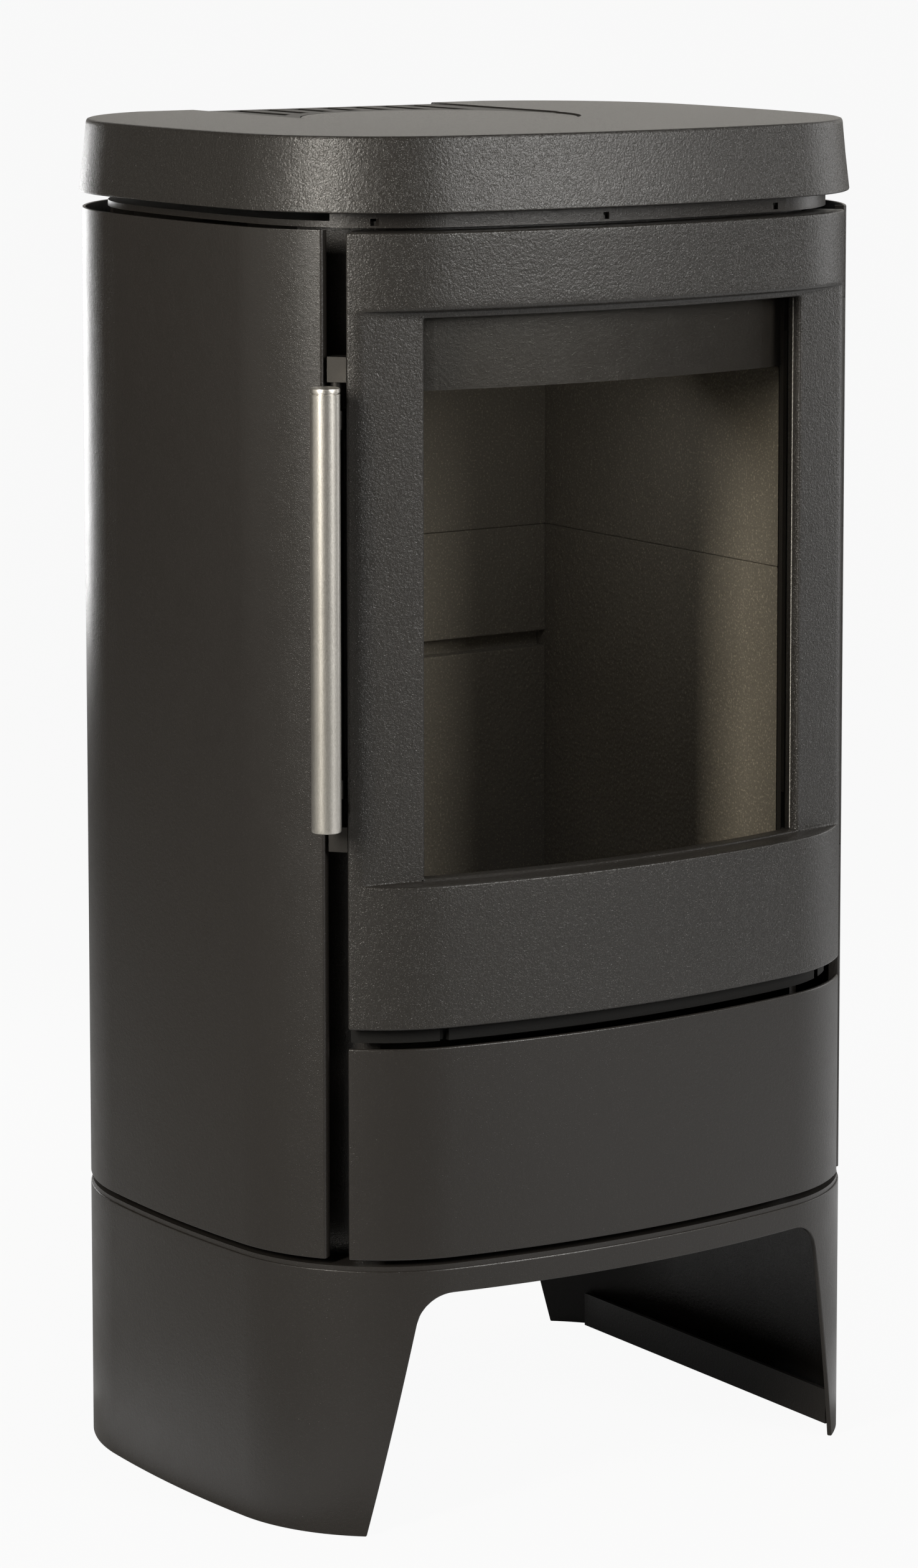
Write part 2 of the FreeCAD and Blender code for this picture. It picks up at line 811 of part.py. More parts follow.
spigot_tube = fuse(
    "spigot_tube",
    cylinder("spigot_wall", d.spigot_radius, disc_middle, (deck_top, deck_top + d.spigot_height)),
    cylinder(
        "spigot_foot",
        d.spigot_radius + d.spigot_flange,
        disc_middle,
        (deck_top, deck_top + d.wall),
    ),
)
spigot_hole = cylinder(
    "spigot_hole",
    spigot_bore,
    disc_middle,
    (deck_top - d.overrun, deck_top + d.spigot_height + d.overrun),
)
keep("flue_spigot", cut("flue_spigot", spigot_tube, spigot_hole))

# Door: bowed frame with a recessed window, glass, seals and clamps
door_z = (door_bottom, door_top)
door_ring = band("door_ring", (0, d.door_thickness), door_z)
door_blank = front_part("door_blank", door_ring, d.door_edge_angle)
bow_middle = (0, d.front_radius - d.body_front)
recess_z = (recess_bottom, recess_top)
recess = cut(
    "recess",
    box("recess_box", (-reach, reach), (-reach, 0), recess_z),
    cylinder(
        "recess_floor",
        d.front_radius - d.recess_depth,
        bow_middle,
        (recess_bottom - d.overrun, recess_top + d.overrun),
    ),
)
window_hole = window("window_hole", window_half, (window_bottom, window_top))
pocket_half = window_half + d.glass_lap_width
pocket_z = (window_bottom - d.glass_lap_width, window_top + d.glass_lap_width)
lip_back = d.recess_depth + d.window_lip
glass_pocket = common(
    "glass_pocket",
    window("glass_pocket_box", pocket_half, pocket_z),
    cylinder("glass_pocket_floor", d.front_radius - lip_back, bow_middle, pocket_z),
)
keep("door_frame", cut("door_frame", door_blank, recess, window_hole, glass_pocket))
glass_front = lip_back + d.gasket_thickness
pane_half = pocket_half - d.slide_gap
pane_z = (pocket_z[0] + d.slide_gap, pocket_z[1] - d.slide_gap)
gasket_blank = arc_shell("gasket_blank", (lip_back, glass_front), pane_half, pane_z)
gasket_hole = window(
    "gasket_hole",
    window_half - d.gasket_show,
    (window_bottom + d.gasket_show, window_top - d.gasket_show),
)
keep("glass_gasket", cut("glass_gasket", gasket_blank, gasket_hole))
glass_back = glass_front + d.glass_thickness
keep("door_glass", arc_shell("door_glass", (glass_front, glass_back), pane_half, pane_z))
clamp_in = d.door_thickness + d.fit_gap
clamp_middle = (window_bottom + window_top) / 2
clamp_z = (clamp_middle - d.clamp_height / 2, clamp_middle + d.clamp_height / 2)
clamp_out = clamp_half + d.clamp_width
for name, across in (
    ("left", (-clamp_out, -clamp_half)),
    ("right", (clamp_half, clamp_out)),
):
    label = f"glass_clamp_{name}"
    ring = band(f"{label}_ring", (clamp_in, clamp_in + d.clamp_thickness), clamp_z)
    strip = box(f"{label}_strip", across, (-reach, 0), clamp_z)
    keep(label, common(label, ring, strip))
rope_z = (door_bottom + d.rope_margin, door_top - d.rope_margin)
rope_ring = band("rope_ring", (clamp_in, d.frame_inset - d.slide_gap), rope_z)
seal_edge = edge_point(1, (d.panel_edge_angle + d.door_edge_angle) / 2, d.frame_inset)
rope_half = as_size(seal_edge[0]) - d.rope_side_gap
rope_outer = window("rope_outer", rope_half, rope_z)
rope_hole = window(
    "rope_hole",
    rope_half - d.rope_width,
    (rope_z[0] + d.rope_width, rope_z[1] - d.rope_width),
)
keep("door_rope", cut("door_rope", common("rope_whole", rope_ring, rope_outer), rope_hole))

# Hinges on the right: bracket eyes on the frame, leaves with pins on the door
gap_angle = (d.panel_edge_angle + d.door_edge_angle) / 2
hinge_axis = edge_point(1, gap_angle, d.hinge_depth)
half_arm = d.hinge_arm / 2
for level, low in (("upper", hinge_upper), ("lower", hinge_lower)):
    eye_z = (low, low + d.eye_height)
    label = f"hinge_bracket_{level}"
    eye = cylinder(f"{label}_eye", d.eye_radius, hinge_axis, eye_z)
    arm = edge_box(
        f"{label}_arm",
        1,
        gap_angle,
        (-half_arm, half_arm),
        (d.hinge_depth, d.frame_inset - d.fit_gap),
        eye_z,
    )
    bore = cylinder(
        f"{label}_bore",
        d.pin_radius + d.running_fit,
        hinge_axis,
        (eye_z[0] - d.overrun, eye_z[1] + d.overrun),
    )
    keep(label, cut(label, fuse(f"{label}_body", eye, arm), bore))
    label = f"hinge_leaf_{level}"
    leaf_z = (eye_z[1] + d.slide_gap, eye_z[1] + d.slide_gap + d.leaf_height)
    tab = edge_box(
        f"{label}_tab",
        1,
        gap_angle,
        (0, d.overrun),
        (d.hinge_depth - d.pin_radius, d.hinge_depth + d.eye_radius),
        leaf_z,
    )
    tab_end = common(
        f"{label}_tab_end", tab, side_block(f"{label}_edge", 1, d.door_edge_angle)
    )
    knuckle = cylinder(f"{label}_knuckle", d.eye_radius, hinge_axis, leaf_z)
    pin = cylinder(f"{label}_pin", d.pin_radius, hinge_axis, (eye_z[0], leaf_z[1]))
    keep(label, fuse(label, tab_end, knuckle, pin))

# Handle and latch on the left: bar, arms, shaft, tongues, lugs and keepers
shaft_axis = edge_point(-1, gap_angle, d.shaft_depth)
bar_axis = edge_point(-1, gap_angle, -d.handle_standoff)
bar_top = handle_bottom + d.handle_length
bar = cylinder("bar", d.handle_radius, bar_axis, (handle_bottom, bar_top))
grooves = []
for name, low in (
    ("groove_upper", bar_top - d.handle_cap - d.handle_groove),
    ("groove_lower", handle_bottom + d.handle_cap),
):
    groove_z = (low, low + d.handle_groove)
    grooves.append(
        cut(
            name,
            cylinder(f"{name}_outer", d.handle_radius + d.overrun, bar_axis, groove_z),
            cylinder(f"{name}_core", d.handle_radius - d.handle_groove, bar_axis, groove_z),
        )
    )
keep("handle_bar", cut("handle_bar", bar, *grooves))
arm_levels = (
    ("upper", bar_top - d.handle_cap - d.arm_margin - d.arm_height),
    ("lower", handle_bottom + d.handle_cap + d.arm_margin),
)
lug_levels = (
    ("upper", bar_top + d.lug_gap),
    ("lower", handle_bottom - d.lug_gap - d.lug_height),
)
shaft_z = (lug_levels[1][1], lug_levels[0][1] + d.lug_height)
keep("latch_shaft", cylinder("latch_shaft", d.shaft_radius, shaft_axis, shaft_z))
shaft_space = cylinder(
    "shaft_space",
    d.shaft_radius + d.press_fit,
    shaft_axis,
    (shaft_z[0] - d.overrun, shaft_z[1] + d.overrun),
)
bar_space = cylinder(
    "bar_space",
    d.handle_radius + d.press_fit,
    bar_axis,
    (handle_bottom - d.overrun, bar_top + d.overrun),
)
half_arm = d.arm_width / 2
half_tongue = d.tongue_width / 2
tip_reach = cylinder(
    "tip_reach",
    d.tongue_length,
    shaft_axis,
    (shaft_z[0] - d.overrun, shaft_z[1] + d.overrun),
)
half_keeper = d.keeper_width / 2
keeper_front = d.shaft_depth + d.tongue_length + d.keeper_gap
for (level, low), (_, lug_low) in zip(arm_levels, lug_levels):
    label = f"handle_arm_{level}"
    arm = edge_box(
        f"{label}_plate",
        -1,
        gap_angle,
        (-half_arm, half_arm),
        (-d.handle_standoff, d.shaft_depth),
        (low, low + d.arm_height),
    )
    keep(label, cut(label, arm, shaft_space, bar_space))
    label = f"latch_tongue_{level}"
    away = d.arm_height + d.arm_margin if level == "lower" else -d.tongue_height - d.arm_margin
    tongue_z = (low + away, low + away + d.tongue_height)
    blade = edge_box(
        f"{label}_blade",
        -1,
        gap_angle,
        (-half_tongue, half_tongue),
        (d.shaft_depth, d.shaft_depth + d.tongue_length),
        tongue_z,
    )
    hub = cylinder(f"{label}_hub", d.shaft_radius + d.skin / 2, shaft_axis, tongue_z)
    tip = common(f"{label}_tip", blade, tip_reach)
    keep(label, cut(label, fuse(f"{label}_body", hub, tip), shaft_space))
    label = f"latch_keeper_{level}"
    keeper_low = tongue_z[0] + d.tongue_height / 2 - d.keeper_height / 2
    keep(
        label,
        edge_box(
            label,
            -1,
            gap_angle,
            (-half_keeper, half_keeper),
            (keeper_front, d.frame_inset - d.fit_gap),
            (keeper_low, keeper_low + d.keeper_height),
        ),
    )
    label = f"latch_lug_{level}"
    lug_z = (lug_low, lug_low + d.lug_height)
    block = edge_box(
        f"{label}_block", -1, gap_angle, (-d.lug_width, d.overrun), (d.lug_inset, d.lug_depth), lug_z
    )
    lug = common(f"{label}_edge", block, side_block(f"{label}_side", -1, d.door_edge_angle))
    bore = cylinder(
        f"{label}_bore",
        d.shaft_radius + d.running_fit,
        shaft_axis,
        (lug_z[0] - d.overrun, lug_z[1] + d.overrun),
    )
    keep(label, cut(label, lug, bore))

# Ash drawer: bowed front, tray and the runners that carry it
drawer_ring = band("drawer_ring", (0, d.skin), (panel_bottom, lower_top))
keep("drawer_front", front_part("drawer_front", drawer_ring, d.door_edge_angle))
runner_top = plate_top + d.ash_sill + d.wall
tray_bottom = runner_top + d.slide_gap
tray_z = (tray_bottom, tray_bottom + d.tray_height)
tray_block = common(
    "tray_block",
    box("tray_box", (-tray_half, tray_half), (-reach, d.tray_back), tray_z),
    prism("tray_front", d.skin, tray_z),
)
tray_in = tray_half - d.tray_wall
hollow_z = (tray_bottom + d.tray_wall, tray_z[1] + d.overrun)
tray_hollow = common(
    "tray_hollow",
    box("tray_space", (-tray_in, tray_in), (-reach, d.tray_back - d.tray_wall), hollow_z),
    prism("tray_inside", d.skin + d.tray_wall, hollow_z),
)
keep("drawer_tray", cut("drawer_tray", tray_block, tray_hollow))
for label, side in (("left_runner", -1), ("right_runner", 1)):
    inner = tray_half - d.runner_width
    across = (inner, tray_half) if side > 0 else (-tray_half, -inner)
    keep(label, box(label, across, (-d.runner_front, inner_back), (plate_top, runner_top)))

doc.recompute()

# Test the document, then write one file for each piece
for obj in doc.Objects:
    bad = {"Invalid", "Error"} & set(obj.State)
    if bad:
        raise RuntimeError(f"{obj.Name} is {sorted(bad)}")
for label, obj in pieces.items():
    shape = obj.Shape
    if shape.isNull() or not shape.isValid() or len(shape.Solids) != 1:
        raise RuntimeError(f"{label} is not one valid solid: {len(shape.Solids)}")
os.makedirs("parts", exist_ok=True)
for label, obj in pieces.items():
    obj.Shape.exportStep(f"parts/{label}.step")
print(len(pieces), "pieces; hinge", hinge_axis, "shaft", shaft_axis)
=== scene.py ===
# %% [markdown]
# # A wood stove with a bowed door
# The stove is a steel casing dressed in bent sheet and heavy castings, all in one dark warm grey.
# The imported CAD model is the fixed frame: it gives every piece its place, and this lesson gives the
# pieces their rounded edges, their surfaces and their light. Lengths are in metres, the front looks
# towards -Y and the floor is z = 0.

import math

import bpy
import numpy as np
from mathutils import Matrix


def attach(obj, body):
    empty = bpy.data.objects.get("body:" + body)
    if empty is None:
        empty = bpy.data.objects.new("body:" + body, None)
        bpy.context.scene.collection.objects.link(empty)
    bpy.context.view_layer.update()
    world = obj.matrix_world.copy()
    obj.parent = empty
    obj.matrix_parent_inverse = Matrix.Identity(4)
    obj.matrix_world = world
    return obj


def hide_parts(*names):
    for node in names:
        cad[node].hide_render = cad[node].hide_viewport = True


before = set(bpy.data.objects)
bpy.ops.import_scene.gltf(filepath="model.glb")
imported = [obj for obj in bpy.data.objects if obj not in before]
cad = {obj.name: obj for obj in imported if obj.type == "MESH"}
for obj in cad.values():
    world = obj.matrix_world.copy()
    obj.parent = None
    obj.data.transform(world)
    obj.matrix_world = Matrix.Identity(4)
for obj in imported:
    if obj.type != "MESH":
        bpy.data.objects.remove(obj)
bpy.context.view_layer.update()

# %% [markdown]
# ## The camera
# The picture was taken from the front left with a long lens, a little above the top plate. Its
# upright edges stay almost parallel, so the camera looks slightly down and the lens is shifted by a
# fifth of the frame. A larger shift would push the stove out of the other views.

# %% Camera
LOOK_DOWN, LOOK_RIGHT = math.radians(6.823), math.radians(34.009)
bpy.ops.object.select_all(action="DESELECT")
bpy.ops.object.camera_add(
    location=(-1.8988, -2.8307, 1.07),
    rotation=(math.pi / 2 - LOOK_DOWN, 0, -LOOK_RIGHT),
)
camera = bpy.context.object
camera.data.lens = 116.83
camera.data.sensor_width = 36
camera.data.shift_x = -0.0154
camera.data.shift_y = -0.2
bpy.context.scene.camera = camera
print("camera", tuple(camera.location), camera.data.lens, "mm")

# %% [markdown]
# ## One outline for every skin
# Side panels, door, drawer, base and top plate all follow the same plan: a bowed front of 720 mm
# radius, 120 mm corners, almost flat sides and round rear corners. A walk round it keeps, for each
# stop, the point and the way that faces outwards there, so any skin at any depth is the same walk
# drawn in by an inset. Drawing each piece by hand would let the gaps between them wander.

# %% Plan outline
FRONT, FRONT_R = np.array((0.0, 0.52)), 0.72
SIDE, SIDE_R = np.array((0.668, 0.023)), 0.907
CORNER_R = 0.12
REAR_R, REAR_Y, REAR_RISE = 0.138, 0.069, 0.046
BACK = 0.2
STEP = 0.004


def heading(start, end):
    """Direction from one point to another, between 0 and a full turn."""
    return math.atan2(end[1] - start[1], end[0] - start[0]) % math.tau


def corner_centre():
    """The centre of the arc that touches the bowed front and the left side from inside."""
    gap = SIDE - FRONT
    span = np.linalg.norm(gap)
    near, far = FRONT_R - CORNER_R, SIDE_R - CORNER_R
    along = (near**2 - far**2 + span**2) / (2 * span)
    across = math.sqrt(near**2 - along**2)
    return FRONT + (along * gap + across * np.array((gap[1], -gap[0]))) / span


CORNER = corner_centre()
REAR = np.array((SIDE[0] - math.sqrt((SIDE_R - REAR_R) ** 2 - REAR_RISE**2), REAR_Y))
FLAT_ANGLE = math.pi - math.asin((BACK - REAR[1]) / REAR_R)
FLAT_HALF = -(REAR[0] + REAR_R * math.cos(FLAT_ANGLE))


def arc(centre, radius, start, stop, spacing):
    """A walk along one arc, with stops about a spacing apart: rows of point and outward way."""
    steps = math.ceil(abs(stop - start) * radius / spacing) + 1
    angles = np.linspace(start, stop, max(steps, 2))
    ways = np.column_stack([np.cos(angles), np.sin(angles)])
    return np.column_stack([np.array(centre) + radius * ways, ways])


def mirrored(walk):
    """The same walk on the right-hand side, in walking order."""
    return (walk * np.array((-1, 1, -1, 1)))[::-1]


def joined(*walks):
    """Walks that follow each other, with the shared stops kept once."""
    return np.vstack([walks[0], *[walk[1:] for walk in walks[1:]]])


def places(walk, inset=0.0):
    """Points in plan at an inset behind the outline."""
    return walk[:, :2] - np.reshape(inset, (-1, 1)) * walk[:, 2:]


def left_side(start_angle, stop_angle, spacing):
    """The left of the outline from a place on the rear corner to a place on the front corner."""
    to_rear, to_corner = heading(SIDE, REAR), heading(SIDE, CORNER)
    return joined(
        arc(REAR, REAR_R, start_angle, to_rear, spacing),
        arc(SIDE, SIDE_R, to_rear, to_corner, spacing * 4),
        arc(CORNER, CORNER_R, to_corner, stop_angle, spacing),
    )


def front_side(start_angle, spacing):
    """The bowed front with its two corners, from a place on the left corner to its mirror place."""
    to_front = heading(FRONT, CORNER)
    left = arc(CORNER, CORNER_R, start_angle, to_front, spacing)
    bow = arc(FRONT, FRONT_R, to_front, 3 * math.pi - to_front, spacing * 2)
    return joined(left, bow, mirrored(left))


def corner_angle(degrees):
    """A place on the left front corner, counted from the left towards the front."""
    return math.pi + math.radians(degrees)


print("corner centre", CORNER, "rear centre", REAR, "flat half", FLAT_HALF)

# %% [markdown]
# ## Bending a sheet
# A real panel is cut flat and rolled. Here a flat grid is added, an extrude gives it a front and a
# back, and both are laid on the outline at their insets. The sharp edges are then picked by their
# angle and bevelled, because a dead sharp edge never catches the light as bent sheet or a casting
# does.

# %% Sheet helpers
MERGE = 1e-6
SMOOTH_ANGLE = math.radians(35)


def only(piece):
    """Makes one piece active and the only one selected, in object mode."""
    if bpy.context.object and bpy.context.object.mode != "OBJECT":
        bpy.ops.object.mode_set(mode="OBJECT")
    bpy.ops.object.select_all(action="DESELECT")
    piece.select_set(True)
    bpy.context.view_layer.objects.active = piece


def lay(piece, points):
    """Moves all the points of a piece."""
    piece.data.vertices.foreach_set("co", np.array(points, dtype=float).ravel())
    piece.data.update()


def laid_grid(name, points):
    """A flat grid added with as many rows and columns as the points have, and laid on them."""
    rows, columns = points.shape[:2]
    bpy.ops.object.select_all(action="DESELECT")
    bpy.ops.mesh.primitive_grid_add(x_subdivisions=columns - 1, y_subdivisions=rows - 1, size=1)
    piece = bpy.context.object
    piece.name = piece.data.name = name
    lay(piece, points)
    return piece


def closed_up(piece, fill=False):
    """Merges meeting edges, fills open ends where asked and points all faces outwards."""
    bpy.ops.object.mode_set(mode="EDIT")
    bpy.ops.mesh.select_all(action="SELECT")
    bpy.ops.mesh.remove_doubles(threshold=MERGE)
    if fill:
        bpy.ops.mesh.fill_holes(sides=0)
    bpy.ops.mesh.normals_make_consistent(inside=False)
    bpy.ops.object.mode_set(mode="OBJECT")
    return piece


def sheet(name, outer, inner, hole=None):
    """A closed sheet between two grids of points, with the cells that hole() names left out."""
    piece = laid_grid(name, outer)
    mark = piece.data.attributes.new("place", "INT", "POINT")
    mark.data.foreach_set("value", np.arange(len(piece.data.vertices), dtype=np.int32))
    if hole is not None:
        bpy.ops.object.mode_set(mode="EDIT")
        bpy.ops.mesh.select_mode(type="FACE")
        bpy.ops.mesh.select_all(action="DESELECT")
        bpy.ops.object.mode_set(mode="OBJECT")
        for face in piece.data.polygons:
            face.select = hole(face.center)
        bpy.ops.object.mode_set(mode="EDIT")
        bpy.ops.mesh.delete(type="FACE")
        bpy.ops.object.mode_set(mode="OBJECT")
    bpy.ops.object.mode_set(mode="EDIT")
    bpy.ops.mesh.select_all(action="SELECT")
    bpy.ops.mesh.extrude_region_move()
    bpy.ops.object.mode_set(mode="OBJECT")
    moved = np.zeros(len(piece.data.vertices), dtype=bool)
    piece.data.vertices.foreach_get("select", moved)
    key = np.zeros(len(moved), dtype=np.int32)
    piece.data.attributes["place"].data.foreach_get("value", key)
    both = np.where(moved[:, None], outer.reshape(-1, 3)[key], inner.reshape(-1, 3)[key])
    lay(piece, both)
    piece.data.attributes.remove(piece.data.attributes["place"])
    return closed_up(piece)


def shaded(piece):
    """Shades a piece smooth, with the large faces setting the normals beside a rounding."""
    only(piece)
    bpy.ops.object.shade_smooth_by_angle(angle=SMOOTH_ANGLE)
    bpy.ops.object.modifier_add(type="WEIGHTED_NORMAL")
    piece.modifiers[-1].keep_sharp = True
    bpy.ops.object.modifier_apply(modifier=piece.modifiers[-1].name)
    print(piece.name, len(piece.data.polygons), "faces")
    return piece


def soften(piece, width, segments=3, sharp=50):
    """Bevels the sharp edges and shades the rest smooth."""
    only(piece)
    bpy.ops.object.mode_set(mode="EDIT")
    bpy.ops.mesh.select_mode(type="EDGE")
    bpy.ops.mesh.select_all(action="DESELECT")
    bpy.ops.mesh.edges_select_sharp(sharpness=math.radians(sharp))
    bpy.ops.mesh.bevel(offset=width, segments=segments, affect="EDGES")
    bpy.ops.object.mode_set(mode="OBJECT")
    return shaded(piece)


def grid(plan, insets, heights):
    """A grid of points: one row for each height, each row at its inset behind the outline."""
    if np.isscalar(insets):
        insets = np.full(len(heights), insets)
    rows = []
    for inset, height in zip(insets, heights):
        flat = places(plan, inset)
        rows.append(np.column_stack([flat, np.broadcast_to(height, len(flat))]))
    return np.array(rows)


def stands_for(piece, body, slot, *nodes):
    """Sets a finished piece on its body in place of its CAD nodes."""
    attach(piece, body)
    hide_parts(*nodes)


# %% [markdown]
# ## Side panels
# Each side is one sheet, rolled round the rear corner, along the side and round the front corner,
# where its edge folds inwards. The fold is added to the walk round the outline as a tiny arc and a
# straight run, so one sheet carries it all.

# %% Side panels
SKIN, PANEL_SKIN = 0.003, 0.0021
PANEL_LOW, PANEL_HIGH = 0.182, 0.8415
PANEL_EDGE = corner_angle(38.7)
FOLD_R, FOLD_LONG, FOLD_STEP = 0.0022, 0.008, 0.0008


def panel_plan():
    """The left panel's walk, with its folded front edge."""
    body = left_side(FLAT_ANGLE, PANEL_EDGE - FOLD_R / CORNER_R, STEP)
    tail = np.array([[-FLAT_HALF + SKIN, BACK, 0.0, 1.0]])
    point, out = body[-1, :2], body[-1, 2:]
    start = math.atan2(out[1], out[0])
    bend = arc(point - FOLD_R * out, FOLD_R, start, start + math.pi / 2, FOLD_STEP)
    run = bend[-1] - np.array((*out, 0, 0)) * (FOLD_LONG - FOLD_R)
    return np.vstack([tail, body, bend[1:], run])


left_plan = panel_plan()
panel_heights = np.array((PANEL_LOW, 0.3, 0.45, 0.6, 0.75, PANEL_HIGH))
for name, plan in (("left_side", left_plan), ("right_side", mirrored(left_plan))):
    outer = grid(plan, 0.0, panel_heights)
    inner = grid(plan, PANEL_SKIN, panel_heights)
    panel = soften(sheet(f"{name}_skin", outer, inner), width=0.0006, segments=2)
    stands_for(panel, "stove", "painted_steel", f"{name}_panel")

# %% [markdown]
# ## Ash drawer front
# The lower front is a thin sheet too, with no fold. It is laid on the walk along the bowed front
# and its two corners, so the gaps beside it stay even from top to bottom.

# %% Drawer front
DOOR_EDGE = corner_angle(45.8)
drawer_plan = front_side(DOOR_EDGE, STEP)
drawer_heights = np.array((0.182, 0.2, 0.235, 0.27, 0.302, 0.32))
drawer_skin = sheet(
    "drawer_skin",
    grid(drawer_plan, 0.0, drawer_heights),
    grid(drawer_plan, SKIN, drawer_heights),
)
soften(drawer_skin, width=0.0012, segments=3)
stands_for(drawer_skin, "ash_drawer", "painted_steel", "drawer_front")

# %% [markdown]
# ## Base skirt
# The base is the same outline again, standing on the floor, with an arch cut through the front and
# the back. Each column of the grid starts at the arch's underside at that place, so the slanted
# legs and their rounded tops come from one curve and need no boolean cut.

# %% Base skirt
ARCH_TOP, ARCH_FOOT, ARCH_SHOULDER, ARCH_R = 0.159, 0.189, 0.157, 0.024
BASE_TOP = 0.175
BACK_STOPS = 24
lean = math.atan2(ARCH_FOOT - ARCH_SHOULDER, ARCH_TOP)
round_z = ARCH_TOP - ARCH_R
round_x = ARCH_FOOT - math.tan(lean) * round_z - ARCH_R / math.cos(lean)
touch_x = round_x + ARCH_R * math.cos(lean)


def arch_line(x):
    """Height of the arch's underside at a distance from the middle."""
    x = abs(x)
    if x <= round_x:
        return ARCH_TOP
    if x <= touch_x:
        return round_z + math.sqrt(ARCH_R**2 - (x - round_x) ** 2)
    return max(0.0, (ARCH_FOOT - x) / math.tan(lean))


def with_marks(walk, marks):
    """The walk with extra stops where it crosses the given distances from the middle."""
    out = [walk[0]]
    for here, there in zip(walk, walk[1:]):
        crossed = [mark for mark in marks if (mark - here[0]) * (mark - there[0]) < 0]
        cuts = sorted((mark - here[0]) / (there[0] - here[0]) for mark in crossed)
        out += [here + (there - here) * cut for cut in cuts]
        out.append(there)
    return np.array(out)


def full_ring(spacing):
    """The whole outline, from the left end of the flat back round the front and back again."""
    turn = heading(FRONT, CORNER)
    half = left_side(FLAT_ANGLE, turn, spacing)
    bow = arc(FRONT, FRONT_R, turn, 3 * math.pi - turn, spacing * 2)
    around = joined(half, bow, mirrored(half))
    back = np.linspace(around[-1], around[0], BACK_STOPS)
    return joined(around, back)


stops = [*np.linspace(touch_x, ARCH_FOOT, 8), *np.linspace(round_x, touch_x, 9)]
ring = with_marks(full_ring(STEP), [side * stop for side in (-1, 1) for stop in stops])
shares = np.array((0.0, 0.06, 0.2, 0.4, 0.6, 0.8, 0.94, 1.0))


def skirt_grid(inset):
    """The skirt's points at an inset, from the arch's underside to the base's top."""
    flat = places(ring, inset)
    low = np.array([arch_line(x) for x in places(ring)[:, 0]])
    rows = [np.column_stack([flat, low + (BASE_TOP - low) * share]) for share in shares]
    return np.array(rows)


skirt = sheet("base_skirt_sheet", skirt_grid(0.0), skirt_grid(SKIN))
soften(skirt, width=0.0008, segments=2, sharp=60)
stands_for(skirt, "stove", "painted_steel", "base_skirt")

# %% [markdown]
# ## Cast door
# The door is a casting: a bowed frame whose window lies in a wide recess that runs out into the
# round corners. The grid's rows carry the recess: each row has a height and a share of the recess
# depth, with close rows at its upper and lower ledge for soft cast fillets. The depth at each
# column is the way from the outline to the recess floor, an arc of 707 mm, so the recess fades out
# at the corners by itself.

# %% Cast door
FLOOR_R, SOFT_START = 0.707, 0.0005
LEDGE_LOW, LEDGE_HIGH = 0.425, 0.790
DOOR_LOW, DOOR_HIGH, DOOR_BACK = 0.332, 0.84, 0.024
WINDOW_HALF, WINDOW_LOW, WINDOW_HIGH = 0.149, 0.427, 0.785
LIP_BACK = 0.017
HALVINGS = 60


def recess_depth(plan):
    """How far the recess floor lies behind the outline, with a soft start at the corners."""
    reach = plan[:, :2] - FRONT
    facing = (reach * plan[:, 2:]).sum(1)
    inside = facing**2 - ((reach**2).sum(1) - FLOOR_R**2)
    depth = facing - np.sqrt(np.maximum(inside, 0))
    return (depth + np.sqrt(depth**2 + SOFT_START**2)) / 2


def window_edge():
    """Angle on the left corner where the recess floor is at the window's side."""
    low, high = DOOR_EDGE, heading(FRONT, CORNER)
    for _ in range(HALVINGS):
        middle = (low + high) / 2
        stop = arc(CORNER, CORNER_R, middle, middle, spacing=1.0)[:1]
        x = places(stop, recess_depth(stop))[0, 0]
        low, high = (middle, high) if x < -WINDOW_HALF else (low, middle)
    return low


edge = window_edge()
to_front = heading(FRONT, CORNER)
left_stile = joined(
    arc(CORNER, CORNER_R, DOOR_EDGE, edge, spacing=0.0025),
    arc(CORNER, CORNER_R, edge, to_front, spacing=0.003),
)
bow = arc(FRONT, FRONT_R, to_front, 3 * math.pi - to_front, spacing=0.005)
door_plan = joined(left_stile, bow, mirrored(left_stile))
fillet = [
    (-0.0036, 0.0), (-0.0020, 0.03), (-0.0009, 0.11), (-0.0003, 0.24), (0.0, 0.42),
    (0.0001, 0.6), (0.0004, 0.78), (0.0011, 0.92), (0.0022, 0.985), (0.0040, 1.0),
]
low_ledge = [(LEDGE_LOW + rise / 2, share) for rise, share in fillet]
high_ledge = [(LEDGE_HIGH - rise, share) for rise, share in reversed(fillet)]
door_rows = [
    *[(height, 0.0) for height in (DOOR_LOW, 0.338, 0.35, 0.37, 0.39, 0.41)],
    *low_ledge,
    *[(height, 1.0) for height in (0.45, 0.5, 0.55, 0.6, 0.65, 0.7, 0.75, 0.775, WINDOW_HIGH)],
    *high_ledge,
    *[(height, 0.0) for height in (0.8, 0.815, 0.834, DOOR_HIGH)],
]
depth = recess_depth(door_plan)
door_heights = np.array([height for height, _ in door_rows])
door_outer = grid(door_plan, [share * depth for _, share in door_rows], door_heights)
ROW_NEAR, COLUMN_NEAR = 0.0005, 0.0004
near_window = (door_heights > WINDOW_LOW - ROW_NEAR) & (door_heights < WINDOW_HIGH + ROW_NEAR)
edge_columns = np.abs(np.abs(places(door_plan, depth)[:, 0]) - WINDOW_HALF) < COLUMN_NEAR
lip = [np.where(edge_columns & row, LIP_BACK, DOOR_BACK) for row in near_window]
door_inner = grid(door_plan, lip, door_heights)


def in_window(centre):
    """Whether a face's centre lies in the window's opening."""
    return abs(centre.x) < WINDOW_HALF and WINDOW_LOW < centre.z < WINDOW_HIGH and centre.y < 0


door_casting = sheet("door_casting", door_outer, door_inner, in_window)
soften(door_casting, width=0.0016, segments=3, sharp=55)
stands_for(door_casting, "door", "cast_iron", "door_frame")

